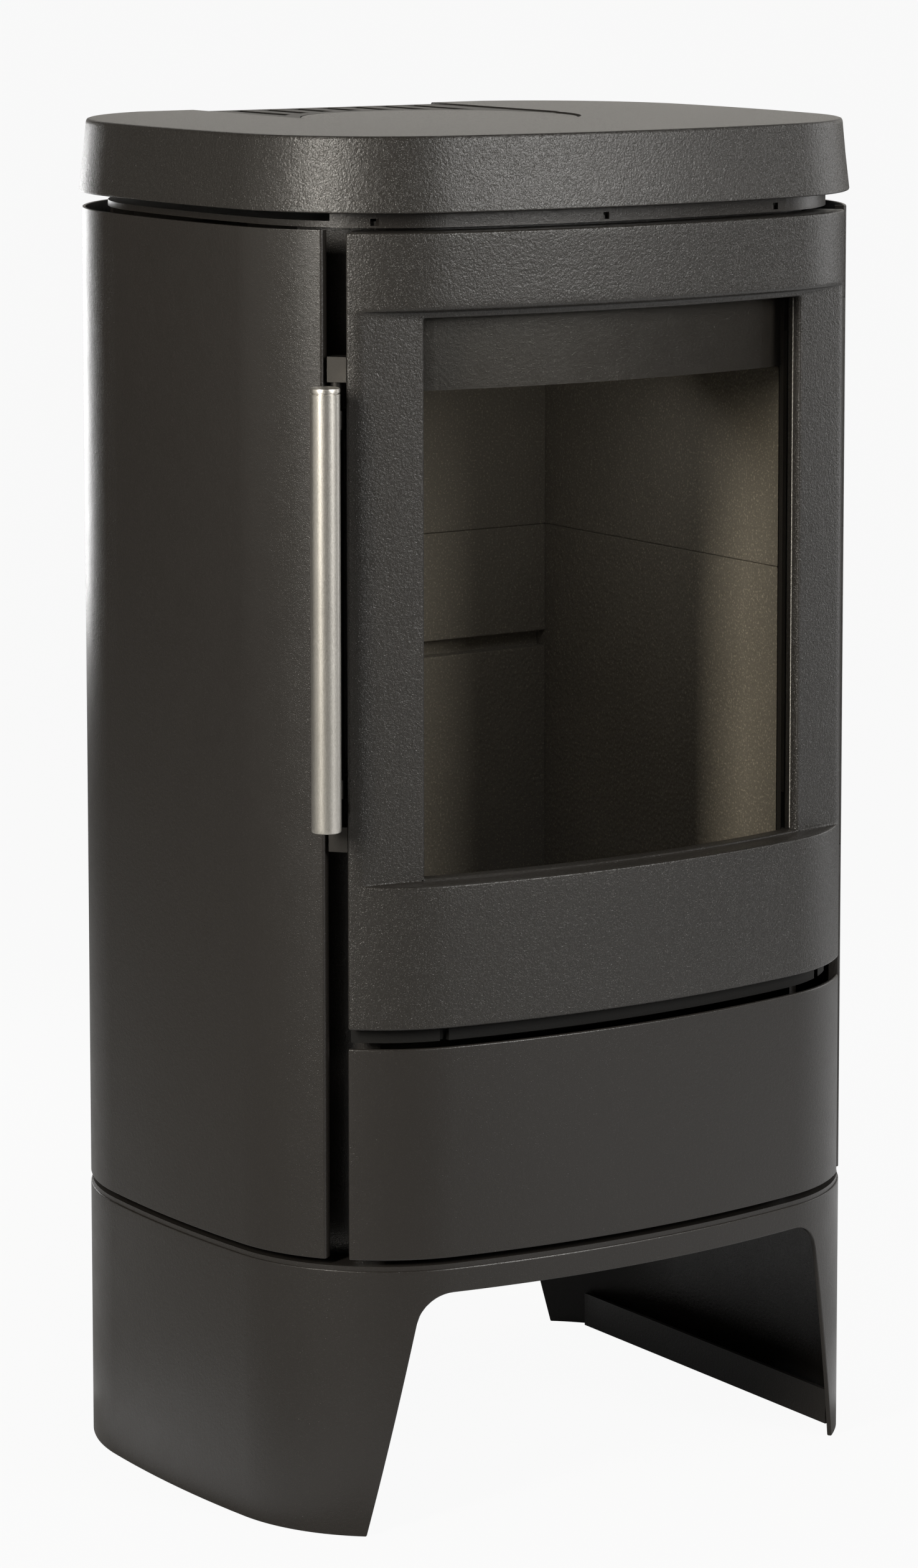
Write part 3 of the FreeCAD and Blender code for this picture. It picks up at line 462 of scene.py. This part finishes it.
# %% [markdown]
# ## Cast top plate
# The top is a thick casting with a tall rim that leans in a little, a rounded edge and a flat top.
# Rings of the outline are stacked from the underside, down the inner wall, round the lower lip and
# up the rim, and the two open ends are filled. The round opening, its ledge and the vent under the
# grille are then cut out, which keeps the flat top in one piece.

# %% Cast top plate
RIM_LOW, RIM_HIGH, TOP_UNDER = 0.852, 0.9, 0.89
RIM_IN, EDGE_WIDE, EDGE_TALL = 0.0027, 0.0042, 0.0045
DISC = (0.0, 0.0356)
DISC_R, DISC_GAP, DISC_LEDGE = 0.0939, 0.0005, 0.008
EASED_GAP, EASED_LOW = 0.0014, 0.8975
REBATE, GRILLE_HALF = 0.893, 0.0993
VENT_HALF, VENT_BACK, VENT_RING = 0.0903, 0.1898, 0.009
BELOW, ABOVE, BEHIND = 0.88, 0.92, 0.26
SPILL = 0.01
rim_edge = [(0.0, 1.0), (0.02, 0.62), (0.09, 0.31), (0.24, 0.1), (0.5, 0.015), (1.0, 0.0)]
rim_rows = [
    (0.04, TOP_UNDER), (0.012, TOP_UNDER), (0.01, TOP_UNDER - 0.002), (0.01, RIM_LOW + 0.001),
    (0.009, RIM_LOW), (-0.0008, RIM_LOW), (-0.0016, RIM_LOW + 0.0004), (-0.0019, RIM_LOW + 0.0012),
    (0.0008, RIM_LOW + 0.024),
    *[(RIM_IN + EDGE_WIDE * across, RIM_HIGH - EDGE_TALL * drop) for across, drop in rim_edge],
    (0.013, RIM_HIGH), (0.045, RIM_HIGH),
]
rim_ring = full_ring(STEP)


def ring_stack(name, ring, rows):
    """Closed rings of a plan stacked into one shell, with both open ends filled flat."""
    points = grid(ring, [inset for inset, _ in rows], [height for _, height in rows])
    return closed_up(laid_grid(name, points), fill=True)


def cut_out(piece, cutter):
    """Takes the cutter's shape out of the piece and removes the cutter."""
    only(piece)
    knife = piece.modifiers.new("cut", "BOOLEAN")
    knife.operation = "DIFFERENCE"
    knife.solver = "EXACT"
    knife.object = cutter
    bpy.ops.object.modifier_apply(modifier=knife.name)
    bpy.data.objects.remove(cutter)


def block(low, high):
    """A box between two corners, as a cutter."""
    bpy.ops.object.select_all(action="DESELECT")
    middle = [(a + b) / 2 for a, b in zip(low, high)]
    bpy.ops.mesh.primitive_cube_add(size=1, location=middle)
    tool = bpy.context.object
    tool.scale = [b - a for a, b in zip(low, high)]
    bpy.ops.object.transform_apply(location=False, rotation=False, scale=True)
    return tool


def round_tool(radius, low, high):
    """A cylinder on the round cover's axis, as a cutter."""
    bpy.ops.object.select_all(action="DESELECT")
    bpy.ops.mesh.primitive_cylinder_add(
        vertices=180, radius=radius, depth=high - low, location=(*DISC, (low + high) / 2)
    )
    return bpy.context.object


top_casting = ring_stack("top_casting", rim_ring, rim_rows)
cut_out(top_casting, round_tool(DISC_R + DISC_GAP, REBATE, ABOVE))
cut_out(top_casting, round_tool(DISC_R + EASED_GAP, EASED_LOW, ABOVE))
cut_out(top_casting, round_tool(DISC_R - DISC_LEDGE, BELOW, ABOVE))
cut_out(top_casting, block((-GRILLE_HALF, DISC[1], REBATE), (GRILLE_HALF, BEHIND, ABOVE)))
vent = block((-VENT_HALF, DISC[1], BELOW), (VENT_HALF, VENT_BACK, ABOVE))
cut_out(vent, round_tool(DISC_R + DISC_GAP + VENT_RING, BELOW - SPILL, ABOVE + SPILL))
cut_out(top_casting, vent)
shaded(top_casting)
stands_for(top_casting, "stove", "cast_iron", "top_plate")

# %% [markdown]
# ## Round cover and bar handle
# Both are turned pieces. The same stack of rings makes them, round a circle instead of the outline:
# the cover is a disc with an eased upper edge, and the handle is a bar with eased ends and a fine
# groove near its upper end.

# %% Turned pieces
def turned(name, centre, radius, rows, spacing):
    """A turned piece from rows of radius and height."""
    circle = arc(centre, radius, 0.0, math.tau, spacing)
    piece = ring_stack(name, circle, [(radius - own, height) for own, height in rows])
    return shaded(piece)


cover_rows = [
    (0.08, 0.893), (0.0932, 0.893), (0.0939, 0.8937), (0.0939, 0.8979), (0.0936, 0.8986),
    (0.0929, 0.899), (0.0915, 0.899), (0.06, 0.899),
]
cover_disc = turned("cover_disc", DISC, DISC_R, cover_rows, spacing=0.003)
stands_for(cover_disc, "flue_cover", "cast_iron", "flue_cover")

BAR_R, BAR_LOW, BAR_HIGH, BAR_REACH = 0.0095, 0.464, 0.745, 0.022
gap_angle = corner_angle(42.25)
outwards = np.array((math.cos(gap_angle), math.sin(gap_angle)))
bar_axis = CORNER + (CORNER_R + BAR_REACH) * outwards
bar_end = [(0.0060, 0.0), (0.0086, 0.0), (0.0092, 0.0003), (0.0095, 0.0009), (0.0095, 0.0029)]
bar_groove = [(0.0086, 0.0031), (0.0086, 0.0038), (0.0095, 0.0040)]
bar_rows = [(own, BAR_LOW + rise) for own, rise in bar_end]
bar_rows += [(own, BAR_HIGH - rise) for own, rise in reversed(bar_end + bar_groove)]
handle_rod = turned("handle_rod", bar_axis, BAR_R, bar_rows, spacing=0.0009)
stands_for(handle_rod, "handle", "bare_steel", "handle_bar")

# %% [markdown]
# ## Seals
# A braided rope seals the door against its frame, and a flat tape cushions the glass. Both run
# round a rounded rectangle on the bowed door. A grid is rolled into a tube whose rings follow that
# loop, with a flattened section, and its meeting edges are merged. A bevelled curve could do it
# too, but its section can twist where the loop turns.

# %% Seals
TURN_STOPS, TUBE_SIDES, SQUARENESS = 8, 16, 0.7


def loop_path(half_x, low, high, radius, spacing):
    """Places round a rounded rectangle, with the way that faces outwards at each."""
    path = []
    corners = ((half_x, high, 0), (-half_x, high, 1), (-half_x, low, 2), (half_x, low, 3))
    for x, z, quarter in corners:
        centre = (x - math.copysign(radius, x), z - math.copysign(radius, z - (low + high) / 2))
        for step in range(TURN_STOPS + 1):
            turn = (quarter + step / TURN_STOPS) * math.pi / 2
            out = np.array((math.cos(turn), math.sin(turn)))
            path.append((*(np.array(centre) + radius * out), *out))
    path.append(path[0])
    full = []
    for a, b in zip(np.array(path), np.array(path[1:])):
        steps = max(1, math.ceil(np.linalg.norm(b[:2] - a[:2]) / spacing))
        full += [a + (b - a) * step / steps for step in range(steps)]
    return np.array(full)


def squared(part):
    """A cosine or sine, swollen so that a round section becomes a rounded rectangle."""
    return math.copysign(abs(part) ** SQUARENESS, part)


def seal(name, path, inset, half_width, half_depth, body, node):
    """A soft tube along a loop on the bowed door, at an inset behind the outline."""
    walk = front_side(corner_angle(20), spacing=0.0005)
    flat = places(walk, inset)
    ways = np.arctan2(walk[:, 3], walk[:, 2])
    rings = []
    for x, z, out_x, out_z in [*path, path[0]]:
        ring = []
        for side in range(TUBE_SIDES + 1):
            turn = math.tau * side / TUBE_SIDES
            across = half_width * squared(math.cos(turn))
            proud = half_depth * squared(math.sin(turn))
            here = x + across * out_x
            facing = np.interp(here, flat[:, 0], ways)
            y = np.interp(here, flat[:, 0], flat[:, 1])
            ring.append(
                (here + proud * math.cos(facing), y + proud * math.sin(facing), z + across * out_z)
            )
        rings.append(ring)
    piece = closed_up(laid_grid(name, np.array(rings)))
    bpy.ops.object.shade_smooth()
    stands_for(piece, body, "rope_seal", node)
    print(name, len(piece.data.polygons), "faces")
    return piece


rope_path = loop_path(half_x=0.1695, low=0.3495, high=0.8225, radius=0.012, spacing=0.004)
seal_rope = seal(
    "seal_rope", rope_path, inset=0.02695, half_width=0.0045, half_depth=0.0027,
    body="door", node="door_rope",
)
tape_path = loop_path(half_x=0.1513, low=0.4212, high=0.7908, radius=0.006, spacing=0.006)
glass_tape = seal(
    "glass_tape", tape_path, inset=0.0184, half_width=0.0041, half_depth=0.00135,
    body="door", node="glass_gasket",
)

# %% [markdown]
# ## Firebricks
# A brick is a slab with eased edges, so that the joints show. Its eight corners come from its CAD
# node: at each end in X the slab reaches from the node's front to its back. The lower rear brick
# has a slot for air.

# %% Firebricks
SLOT_LOW, SLOT_HIGH, SLOT_HALF, SLOT_DEEP = 0.512, 0.523, 0.2, 0.01
SAME_END = 1e-4


def slab(node):
    """An eased slab between the corners of a CAD brick."""
    spots = np.array([cad[node].matrix_world @ vert.co for vert in cad[node].data.vertices])
    low, high = spots.min(axis=0), spots.max(axis=0)
    bpy.ops.object.select_all(action="DESELECT")
    bpy.ops.mesh.primitive_cube_add(size=2)
    piece = bpy.context.object
    piece.name = piece.data.name = node.replace("brick", "slab")
    corners = []
    for vert in piece.data.vertices:
        x = high[0] if vert.co.x > 0 else low[0]
        beside = spots[np.abs(spots[:, 0] - x) < SAME_END, 1]
        y = beside.max() if vert.co.y > 0 else beside.min()
        corners.append((x, y, high[2] if vert.co.z > 0 else low[2]))
    lay(piece, np.array(corners))
    if node == "brick_back_lower":
        near, deep = low[1] - SLOT_DEEP, low[1] + SLOT_DEEP
        cut_out(piece, block((-SLOT_HALF, near, SLOT_LOW), (SLOT_HALF, deep, SLOT_HIGH)))
    soften(piece, width=0.0013, segments=2)
    stands_for(piece, "stove", "firebrick", node)
    return piece


slabs = [
    slab(f"brick_{side}_{level}")
    for side in ("left", "right", "back")
    for level in ("lower", "upper")
]

# %% [markdown]
# ## Writing shader maths
# A finish is a tree of nodes. One class wraps a node's output so that sums and products of such
# signals read like formulas, and one method adds any other node.


# %% Shader helpers
class Signal:
    """A node's output; arithmetic on it adds Math nodes."""

    def __init__(self, finish, socket):
        self.finish = finish
        self.socket = socket

    def maths(self, operation, first, second=0.0):
        """A Math node on one or two values."""
        return self.finish.node("ShaderNodeMath", {"operation": operation}, {0: first, 1: second})

    def __add__(self, other):
        return self.maths("ADD", self, other)

    def __radd__(self, other):
        return self.maths("ADD", other, self)

    def __sub__(self, other):
        return self.maths("SUBTRACT", self, other)

    def __rsub__(self, other):
        return self.maths("SUBTRACT", other, self)

    def __mul__(self, other):
        return self.maths("MULTIPLY", self, other)

    def __rmul__(self, other):
        return self.maths("MULTIPLY", other, self)

    def __gt__(self, other):
        return self.maths("GREATER_THAN", self, other)


class Finish:
    """One material and its nodes."""

    def __init__(self, name):
        self.material = bpy.data.materials.new(name)
        self.material.use_nodes = True
        self.tree = self.material.node_tree
        self.shader = self.tree.nodes["Principled BSDF"]
        self.place = self.node("ShaderNodeTexCoord", {}, {}, "Object")

    def node(self, kind, settings, sockets, out=0):
        """Adds a node, makes its settings, then fills its sockets with values or links."""
        made = self.tree.nodes.new(kind)
        for name, value in settings.items():
            if name == "stops":
                for stop, (at, tone) in zip(made.color_ramp.elements, value):
                    stop.position = at
                    stop.color = (tone, tone, tone, 1)
            else:
                setattr(made, name, value)
        self.fill(made, sockets)
        return Signal(self, made.outputs[out])

    def fill(self, made, sockets):
        """Gives sockets their values, or links to other nodes."""
        for name, value in sockets.items():
            if isinstance(value, Signal):
                self.tree.links.new(value.socket, made.inputs[name])
            else:
                made.inputs[name].default_value = value

    def noise(self, scale, detail=2.0, rough=0.5, place=None):
        """Soft noise, with about as many grains to the metre as the scale says."""
        sockets = {"Scale": scale, "Detail": detail, "Roughness": rough}
        return self.node("ShaderNodeTexNoise", {}, {"Vector": place or self.place, **sockets})

    def stretched(self, scale):
        """Object coordinates with each axis scaled on its own."""
        return self.node("ShaderNodeMapping", {}, {"Vector": self.place, "Scale": scale})

    def ramp(self, signal, low, high):
        """A soft step from 0 at low to 1 at high."""
        stops = [(low, 0.0), (high, 1.0)]
        return self.node("ShaderNodeValToRGB", {"stops": stops}, {"Fac": signal})

    def fade(self, signal, start, end, first, last):
        """A soft change from a first value at the start to a last value at the end."""
        limits = {"From Min": start, "From Max": end, "To Min": first, "To Max": last}
        settings = {"interpolation_type": "SMOOTHSTEP"}
        return self.node("ShaderNodeMapRange", settings, {"Value": signal, **limits})

    def axis(self, name):
        """The X, Y or Z of the place."""
        return self.node("ShaderNodeSeparateXYZ", {}, {"Vector": self.place}, name)

    def along(self, way):
        """How far the place lies in a direction."""
        settings = {"operation": "DOT_PRODUCT"}
        return self.node("ShaderNodeVectorMath", settings, {0: self.place, 1: way}, "Value")

    def mix(self, share, first, second):
        """A colour between two colours."""
        settings = {"data_type": "RGBA"}
        colours = [tone if isinstance(tone, Signal) else (*tone, 1) for tone in (first, second)]
        return self.node("ShaderNodeMix", settings, {0: share, 6: colours[0], 7: colours[1]}, 2)

    def bump(self, height, distance):
        """A bumped normal; the distance is the depth of the relief in metres."""
        sockets = {"Height": height, "Distance": distance, "Strength": 1.0}
        return self.node("ShaderNodeBump", {}, sockets)

    def done(self, **sockets):
        """Fills the shader's own sockets; a name's underscores stand for spaces."""
        self.fill(self.shader, {name.replace("_", " "): value for name, value in sockets.items()})
        return self.material


# %% [markdown]
# ## Stove paint on sheet
# The bent sheets carry a baked satin paint with a fine metallic grain. It looks smooth from afar,
# and close by it has a faint orange peel and tiny bright grains. The tone drifts a little over a
# panel, as sprayed paint does.


# %% Sheet paint
def sheet_paint():
    paint = Finish("sheet_paint")
    drift = paint.noise(4.0, 3.0)
    grain = paint.ramp(paint.noise(1500.0, 1.0), 0.55, 0.78)
    tone = paint.mix(drift, (0.0158, 0.0139, 0.0123), (0.0186, 0.0163, 0.0144))
    peel = paint.noise(420.0, 2.0)
    return paint.done(
        Base_Color=paint.mix(grain * 0.5, tone, (0.034, 0.030, 0.027)),
        Roughness=0.345 + 0.10 * (paint.noise(60.0, 3.0) - 0.5) - 0.06 * grain,
        Specular_IOR_Level=0.5,
        Normal=paint.bump(peel + 0.5 * grain, 0.00012),
    )


# %% [markdown]
# ## Stove paint on castings
# The same paint on cast iron keeps the sand's skin: pebbles about two millimetres across, with
# stray pits. The pebbles scatter the light, so a casting looks a shade lighter than the sheet
# beside it.


# %% Cast paint
def cast_paint():
    paint = Finish("cast_paint")
    drift = paint.noise(5.0, 3.0)
    grain = paint.ramp(paint.noise(1500.0, 1.0), 0.54, 0.74)
    pebble = paint.noise(560.0, 3.0, 0.6)
    swell = paint.noise(150.0, 2.0)
    pits = paint.ramp(paint.noise(240.0, 1.0), 0.26, 0.33)
    tone = paint.mix(drift, (0.0166, 0.0151, 0.0135), (0.0194, 0.0177, 0.0159))
    fleck = paint.mix(grain * 0.55, tone, (0.052, 0.048, 0.043))
    return paint.done(
        Base_Color=paint.mix(0.35 * (1 - pits), fleck, (0.02, 0.019, 0.018)),
        Roughness=0.31 + 0.14 * (pebble - 0.5) - 0.05 * grain,
        Specular_IOR_Level=0.5,
        Normal=paint.bump(pebble + 0.3 * swell + 0.2 * pits + 0.25 * grain, 0.00042),
    )


# %% [markdown]
# ## Grille with painted shade
# The grille in the top plate carries the same cast skin. The shade down in its slots is painted:
# there the surface is dull and nearly black, so the height above the floor picks the tone, and
# the satin paint starts to take nine tenths of a millimetre above a mark.

# %% Grille paint
SHADE_MARK, PER_MM = 0.8975, 1000


def grille_painted_shade():
    paint = Finish("grille_painted_shade")
    # Above the mark the satin paint; below it the painted shade of the slots, dull and nearly black.
    above_shade = paint.ramp(PER_MM * (paint.axis("Z") - SHADE_MARK), 0.9, 1.0)
    pebble = paint.noise(720.0, 3.0, 0.6)
    return paint.done(
        Base_Color=paint.mix(above_shade, (0.002, 0.002, 0.002), (0.0205, 0.0188, 0.0168)),
        Roughness=0.97 - 0.55 * above_shade,
        Specular_IOR_Level=0.5,
        Normal=paint.bump(pebble, 0.00018),
    )


# %% [markdown]
# ## Painted shade on the ledge
# The ledge between door and drawer lies in the shade under the door, and that shade is painted
# into its colour as a dull, nearly black coat. A satin one would draw a bright line through the
# dark gap.


# %% Ledge painted shade
def ledge_painted_shade():
    coat = Finish("ledge_painted_shade")
    cloud = coat.noise(30.0, 3.0)
    return coat.done(
        # The nearly black tone is painted shade for the gap under the door.
        Base_Color=coat.mix(cloud, (0.0035, 0.0033, 0.0030), (0.0060, 0.0056, 0.0050)),
        Roughness=0.72 + 0.1 * (cloud - 0.5),
        Specular_IOR_Level=0.3,
        Normal=coat.bump(coat.noise(500.0, 2.0), 0.00008),
    )


# %% [markdown]
# ## Firebrick
# The firebox is lined with pressed mineral board: matt, grey brown and full of flakes, smoked
# darker in cloudy patches. Cells make the flakes, and noises add the smoke and pale specks.


# %% Firebrick
def firebrick():
    brick = Finish("smoked_firebrick")
    smoke = brick.noise(7.0, 4.0, 0.6)
    flake = brick.node(
        "ShaderNodeTexVoronoi", {}, {"Vector": brick.place, "Scale": 330.0}, "Distance"
    )
    speck = brick.ramp(brick.noise(700.0, 2.0), 0.56, 0.7)
    tone = brick.mix(smoke, (0.13, 0.118, 0.098), (0.22, 0.2, 0.168))
    return brick.done(
        Base_Color=brick.mix(speck * 0.45, tone, (0.5, 0.45, 0.36)),
        Roughness=0.88 + 0.08 * (flake - 0.5),
        Specular_IOR_Level=0.2,
        Normal=brick.bump(flake + brick.noise(180.0, 4.0), 0.0005),
    )


# %% [markdown]
# ## Bare steel
# The handle is blasted stainless steel with a fine sparkling grain. The grain is noise that is
# drawn out a little along Z, as the bar was ground before it was blasted. The latch and hinge
# pieces are much darker drawn steel.


# %% Bare steel
def bare_steel(name, dark, bright, rough):
    steel = Finish(name)
    marks = steel.noise(1.0, 2.0, 0.6, steel.stretched((1900.0, 1900.0, 900.0)))
    cloud = steel.noise(25.0, 2.0)
    return steel.done(
        Base_Color=steel.mix(0.7 * marks + 0.3 * cloud, dark, bright),
        Metallic=1.0,
        Roughness=rough + 0.2 * (marks - 0.5),
        Normal=steel.bump(marks, 0.00003),
    )


# %% [markdown]
# ## Glass
# The pane is clear ceramic glass with a faint smoky tint. Most light goes straight through and the
# rest mirrors off it, more so at a flat angle, so a factor that grows with the slant mixes a
# transparent with a glossy shader.

# %% Glass
STRAIGHT_ON, GROWTH = 0.04, 5.0


def ceramic_glass():
    pane = Finish("ceramic_glass")
    haze = pane.noise(18.0, 3.0)
    slant = pane.node("ShaderNodeLayerWeight", {}, {"Blend": 0.5}, "Facing")
    mirror = STRAIGHT_ON + (1 - STRAIGHT_ON) * slant.maths("POWER", slant, GROWTH)
    pane.done(
        Base_Color=(0.012, 0.011, 0.010, 1), Roughness=0.02 + 0.05 * haze, Specular_IOR_Level=0.5
    )
    clear = pane.node("ShaderNodeBsdfTransparent", {}, {"Color": (0.965, 0.96, 0.945, 1)})
    own = Signal(pane, pane.shader.outputs[0])
    both = pane.node("ShaderNodeMixShader", {}, {0: mirror, 1: clear, 2: own})
    pane.fill(pane.tree.nodes["Material Output"], {"Surface": both})
    return pane.material


# %% [markdown]
# ## Rope and tape
# Both are woven glass fibre. Two waves that cross at a slant make the braid, and fine noise frays
# it.


# %% Woven seal
def woven_seal(name, dark, pale, pitch):
    weave = Finish(name)
    bands = [
        weave.node(
            "ShaderNodeTexWave",
            {"bands_direction": "DIAGONAL"},
            {"Vector": weave.stretched((side, 1.0, 1.0)), "Scale": pitch, "Distortion": 0.6},
        )
        for side in (1.0, -1.0)
    ]
    braid = bands[0] * bands[1]
    fray = weave.noise(900.0, 3.0)
    return weave.done(
        Base_Color=weave.mix(0.6 * braid + 0.4 * fray, dark, pale),
        Roughness=0.85 + 0.1 * (fray - 0.5),
        Normal=weave.bump(braid + 0.4 * fray, 0.0006),
    )


# %% [markdown]
# ## Dressing the pieces
# Every piece and every CAD node that stays in view gets one of these finishes. A node's name tells
# which one.

# %% Dress
finishes = {
    "sheet": sheet_paint(),
    "cast": cast_paint(),
    "grille": grille_painted_shade(),
    "black": ledge_painted_shade(),
    "brick": firebrick(),
    "bar": bare_steel("blasted_steel", (0.46, 0.435, 0.39), (0.84, 0.82, 0.775), 0.37),
    "drawn": bare_steel("drawn_steel", (0.026, 0.0245, 0.023), (0.062, 0.059, 0.055), 0.5),
    "glass": ceramic_glass(),
    "rope": woven_seal("braided_rope", (0.05, 0.05, 0.05), (0.22, 0.21, 0.2), 90.0),
    "tape": woven_seal("glass_tape", (0.3, 0.29, 0.27), (0.62, 0.6, 0.56), 160.0),
}


def dress(piece, finish):
    """Gives a piece one finish all over."""
    piece.data.materials.clear()
    piece.data.materials.append(finishes[finish])


for name, piece in cad.items():
    if "brick" in name or name == "baffle":
        dress(piece, "brick")
    # The ledge gets the nearly black coat as painted shade for the gap under the door.
    elif name == "front_ledge":
        dress(piece, "black")
    elif name == "grate":
        dress(piece, "cast")
    # The grille's finish carries painted shade in its slots.
    elif name == "top_grille":
        dress(piece, "grille")
    elif name == "door_glass":
        dress(piece, "glass")
    elif name.startswith(("hinge", "latch", "glass_clamp", "handle")):
        dress(piece, "drawn")
    else:
        dress(piece, "sheet")
for name in ("left_side_skin", "right_side_skin", "drawer_skin", "base_skirt_sheet"):
    dress(bpy.data.objects[name], "sheet")
for piece in (door_casting, top_casting, cover_disc):
    dress(piece, "cast")
for piece in slabs:
    dress(piece, "brick")
dress(handle_rod, "bar")
dress(seal_rope, "rope")
dress(glass_tape, "tape")
print(len(finishes), "finishes")

# %% [markdown]
# ## Soft boxes
# A dark satin stove shows little but reflections, so its look depends on what stands round it. A
# tall narrow box on the left draws the bright band on the left corner, and one at the front right
# draws the band on the bowed front. Weak boxes open up the left side, the right side and the back.
# A low one behind on the right gives the top plate its sheen at a flat angle. The box overhead only
# lifts the shade: it is kept out of reflections, so that the top's rounded edge stays dark. A very
# small one under the baffle shows the lining. The two on the left and the sheen are tinted warm,
# and the one in front is a little less so.

# %% Soft boxes
WARM, PALE, WHITE = (1.0, 0.955, 0.87), (1.0, 0.985, 0.955), (1.0, 1.0, 1.0)


def soft_box(name, place, target, size, power, tint=WHITE):
    """An area lamp at a place, turned towards a target."""
    bpy.ops.object.select_all(action="DESELECT")
    bpy.ops.object.light_add(type="AREA", location=place)
    lamp = bpy.context.object
    lamp.name = name
    lamp.data.shape = "RECTANGLE"
    lamp.data.size, lamp.data.size_y = size
    lamp.data.energy = power
    lamp.data.color = tint
    way = np.array(place) - np.array(target)
    flat = math.hypot(way[0], way[1])
    lamp.rotation_euler = (math.atan2(flat, way[2]), 0, math.atan2(way[0], -way[1]))
    lamp.visible_camera = False
    print(name, power, "W")
    return lamp


soft_box("left_box", (-2.2, -0.82, 1.45), (0, 0, 0.65), (0.36, 1.1), 60, WARM)
soft_box("side_box", (-2.3, 0.9, 1.05), (0, 0, 0.55), (1.4, 1.6), 3.4, WARM)
soft_box("front_box", (0.95, -2.65, 1.6), (0, 0, 0.6), (0.8, 1.2), 57, PALE)
soft_box("right_box", (2.4, -0.2, 1.0), (0, 0, 0.55), (0.8, 1.8), 11)
top_box = soft_box("top_box", (0.3, 0.9, 2.6), (0, 0, 0.9), (1.4, 1.4), 6)
top_box.visible_glossy = False
soft_box("sheen_box", (1.0, 1.45, 1.2), (0, 0, 0.9), (0.9, 0.4), 0.5, WARM)
soft_box("rear_box", (0, 1.4, 0.62), (0, 0, 0.5), (0.38, 0.5), 4)
soft_box("lining_box", (0, -0.06, 0.715), (0, 0.08, 0.4), (0.2, 0.08), 0.09)

# %% [markdown]
# ## White surroundings
# To the camera the world is plain white. In reflections it is bright towards the right and falls
# dark towards the left and overhead, as when black cards stand round an object in a studio. Light
# Path tells these rays apart. All other rays get a weak even fill.

# %% World
FILL, ANY_LIGHT = 0.12, 0.001
MIRRORED_TINT = (1.0, 0.96, 0.9)


def seen_rays(finish, mirrored_share):
    """1 for camera rays, and a share for rays from a mirror or through glass."""
    rays = [
        finish.node("ShaderNodeLightPath", {}, {}, kind)
        for kind in ("Is Camera Ray", "Is Glossy Ray", "Is Transmission Ray")
    ]
    other = rays[1].maths("MAXIMUM", rays[1], rays[2])
    return other.maths("MAXIMUM", rays[0], other * mirrored_share)


class Studio(Finish):
    """The world's nodes, with the same helpers as a finish."""

    def __init__(self):
        world = bpy.data.worlds.new("white_studio")
        world.use_nodes = True
        bpy.context.scene.world = world
        self.material = world
        self.tree = world.node_tree
        self.shader = self.tree.nodes["Background"]
        self.place = self.node("ShaderNodeTexCoord", {}, {}, "Generated")


studio = Studio()
bright_right = studio.fade(studio.along((0.98, 0.2, 0.0)), -0.3, 1.0, 0.05, 0.62)
dark_ceiling = studio.fade(studio.axis("Z"), 0.12, 0.6, 1.0, 0.1)
seen = seen_rays(studio, bright_right * dark_ceiling)
unseen = 1 - (seen > ANY_LIGHT)
looked_at = studio.node("ShaderNodeLightPath", {}, {}, "Is Camera Ray")
studio.done(
    Color=studio.mix(looked_at, MIRRORED_TINT, WHITE),
    Strength=seen + FILL * unseen,
)
print("world", studio.material.name)

# %% [markdown]
# ## Paper floor
# The stove stands on pale paper. To the camera the paper glows nearly white and keeps a trace of
# the shadow. In reflections it is bright at the right and in a hem close round the feet, and dark
# at the left, far away and under the stove. So the bowed front gets its shading and the legs grow
# lighter towards the floor.

# %% Paper floor
PAPER_GLOW = 0.94
HALF_WIDE, HALF_DEEP = 0.235, 0.195
bpy.ops.object.select_all(action="DESELECT")
bpy.ops.mesh.primitive_plane_add(size=90)
paper = bpy.context.object
paper.name = "paper_floor"
white = Finish("white_paper")
white.done(Base_Color=(0.34, 0.34, 0.34, 1), Roughness=0.9, Specular_IOR_Level=0.0)
glow = white.node("ShaderNodeEmission", {}, {"Color": (1, 1, 1, 1), "Strength": 1.0})
aside, x, y = white.along((0.95, 0.3, 0.0)), white.axis("X"), white.axis("Y")
away = white.node("ShaderNodeVectorMath", {"operation": "LENGTH"}, {0: white.place}, "Value")
lit_side = white.fade(aside, -0.5, -0.05, 0.0, 0.75)
lit_near = white.fade(away, 1.4, 2.8, 1.0, 0.0)
lit_open = white.fade(away, 0.25, 0.8, 0.1, 1.0)
lit_front = white.fade(y, 0.1, 0.9, 1.0, 0.3)
beyond = x.maths(
    "MAXIMUM", x.maths("ABSOLUTE", x) - HALF_WIDE, y.maths("ABSOLUTE", y) - HALF_DEEP
)
hem_start = white.fade(beyond, 0.0, 0.03, 0.0, 0.7)
hem_end = white.fade(beyond, 0.06, 0.3, 1.0, 0.0)
hem_front = white.fade(y, 0.1, 0.4, 1.0, 0.0)
mirrored_glow = x.maths(
    "MAXIMUM", lit_side * lit_near * lit_open * lit_front, hem_start * hem_end * hem_front
)
share = PAPER_GLOW * seen_rays(white, mirrored_glow)
own = Signal(white, white.shader.outputs[0])
paper_mix = white.node("ShaderNodeMixShader", {}, {0: share, 1: own, 2: glow})
white.fill(white.tree.nodes["Material Output"], {"Surface": paper_mix})
paper.data.materials.append(white.material)
bpy.context.scene.view_settings.view_transform = "Standard"
print("floor", paper.name)
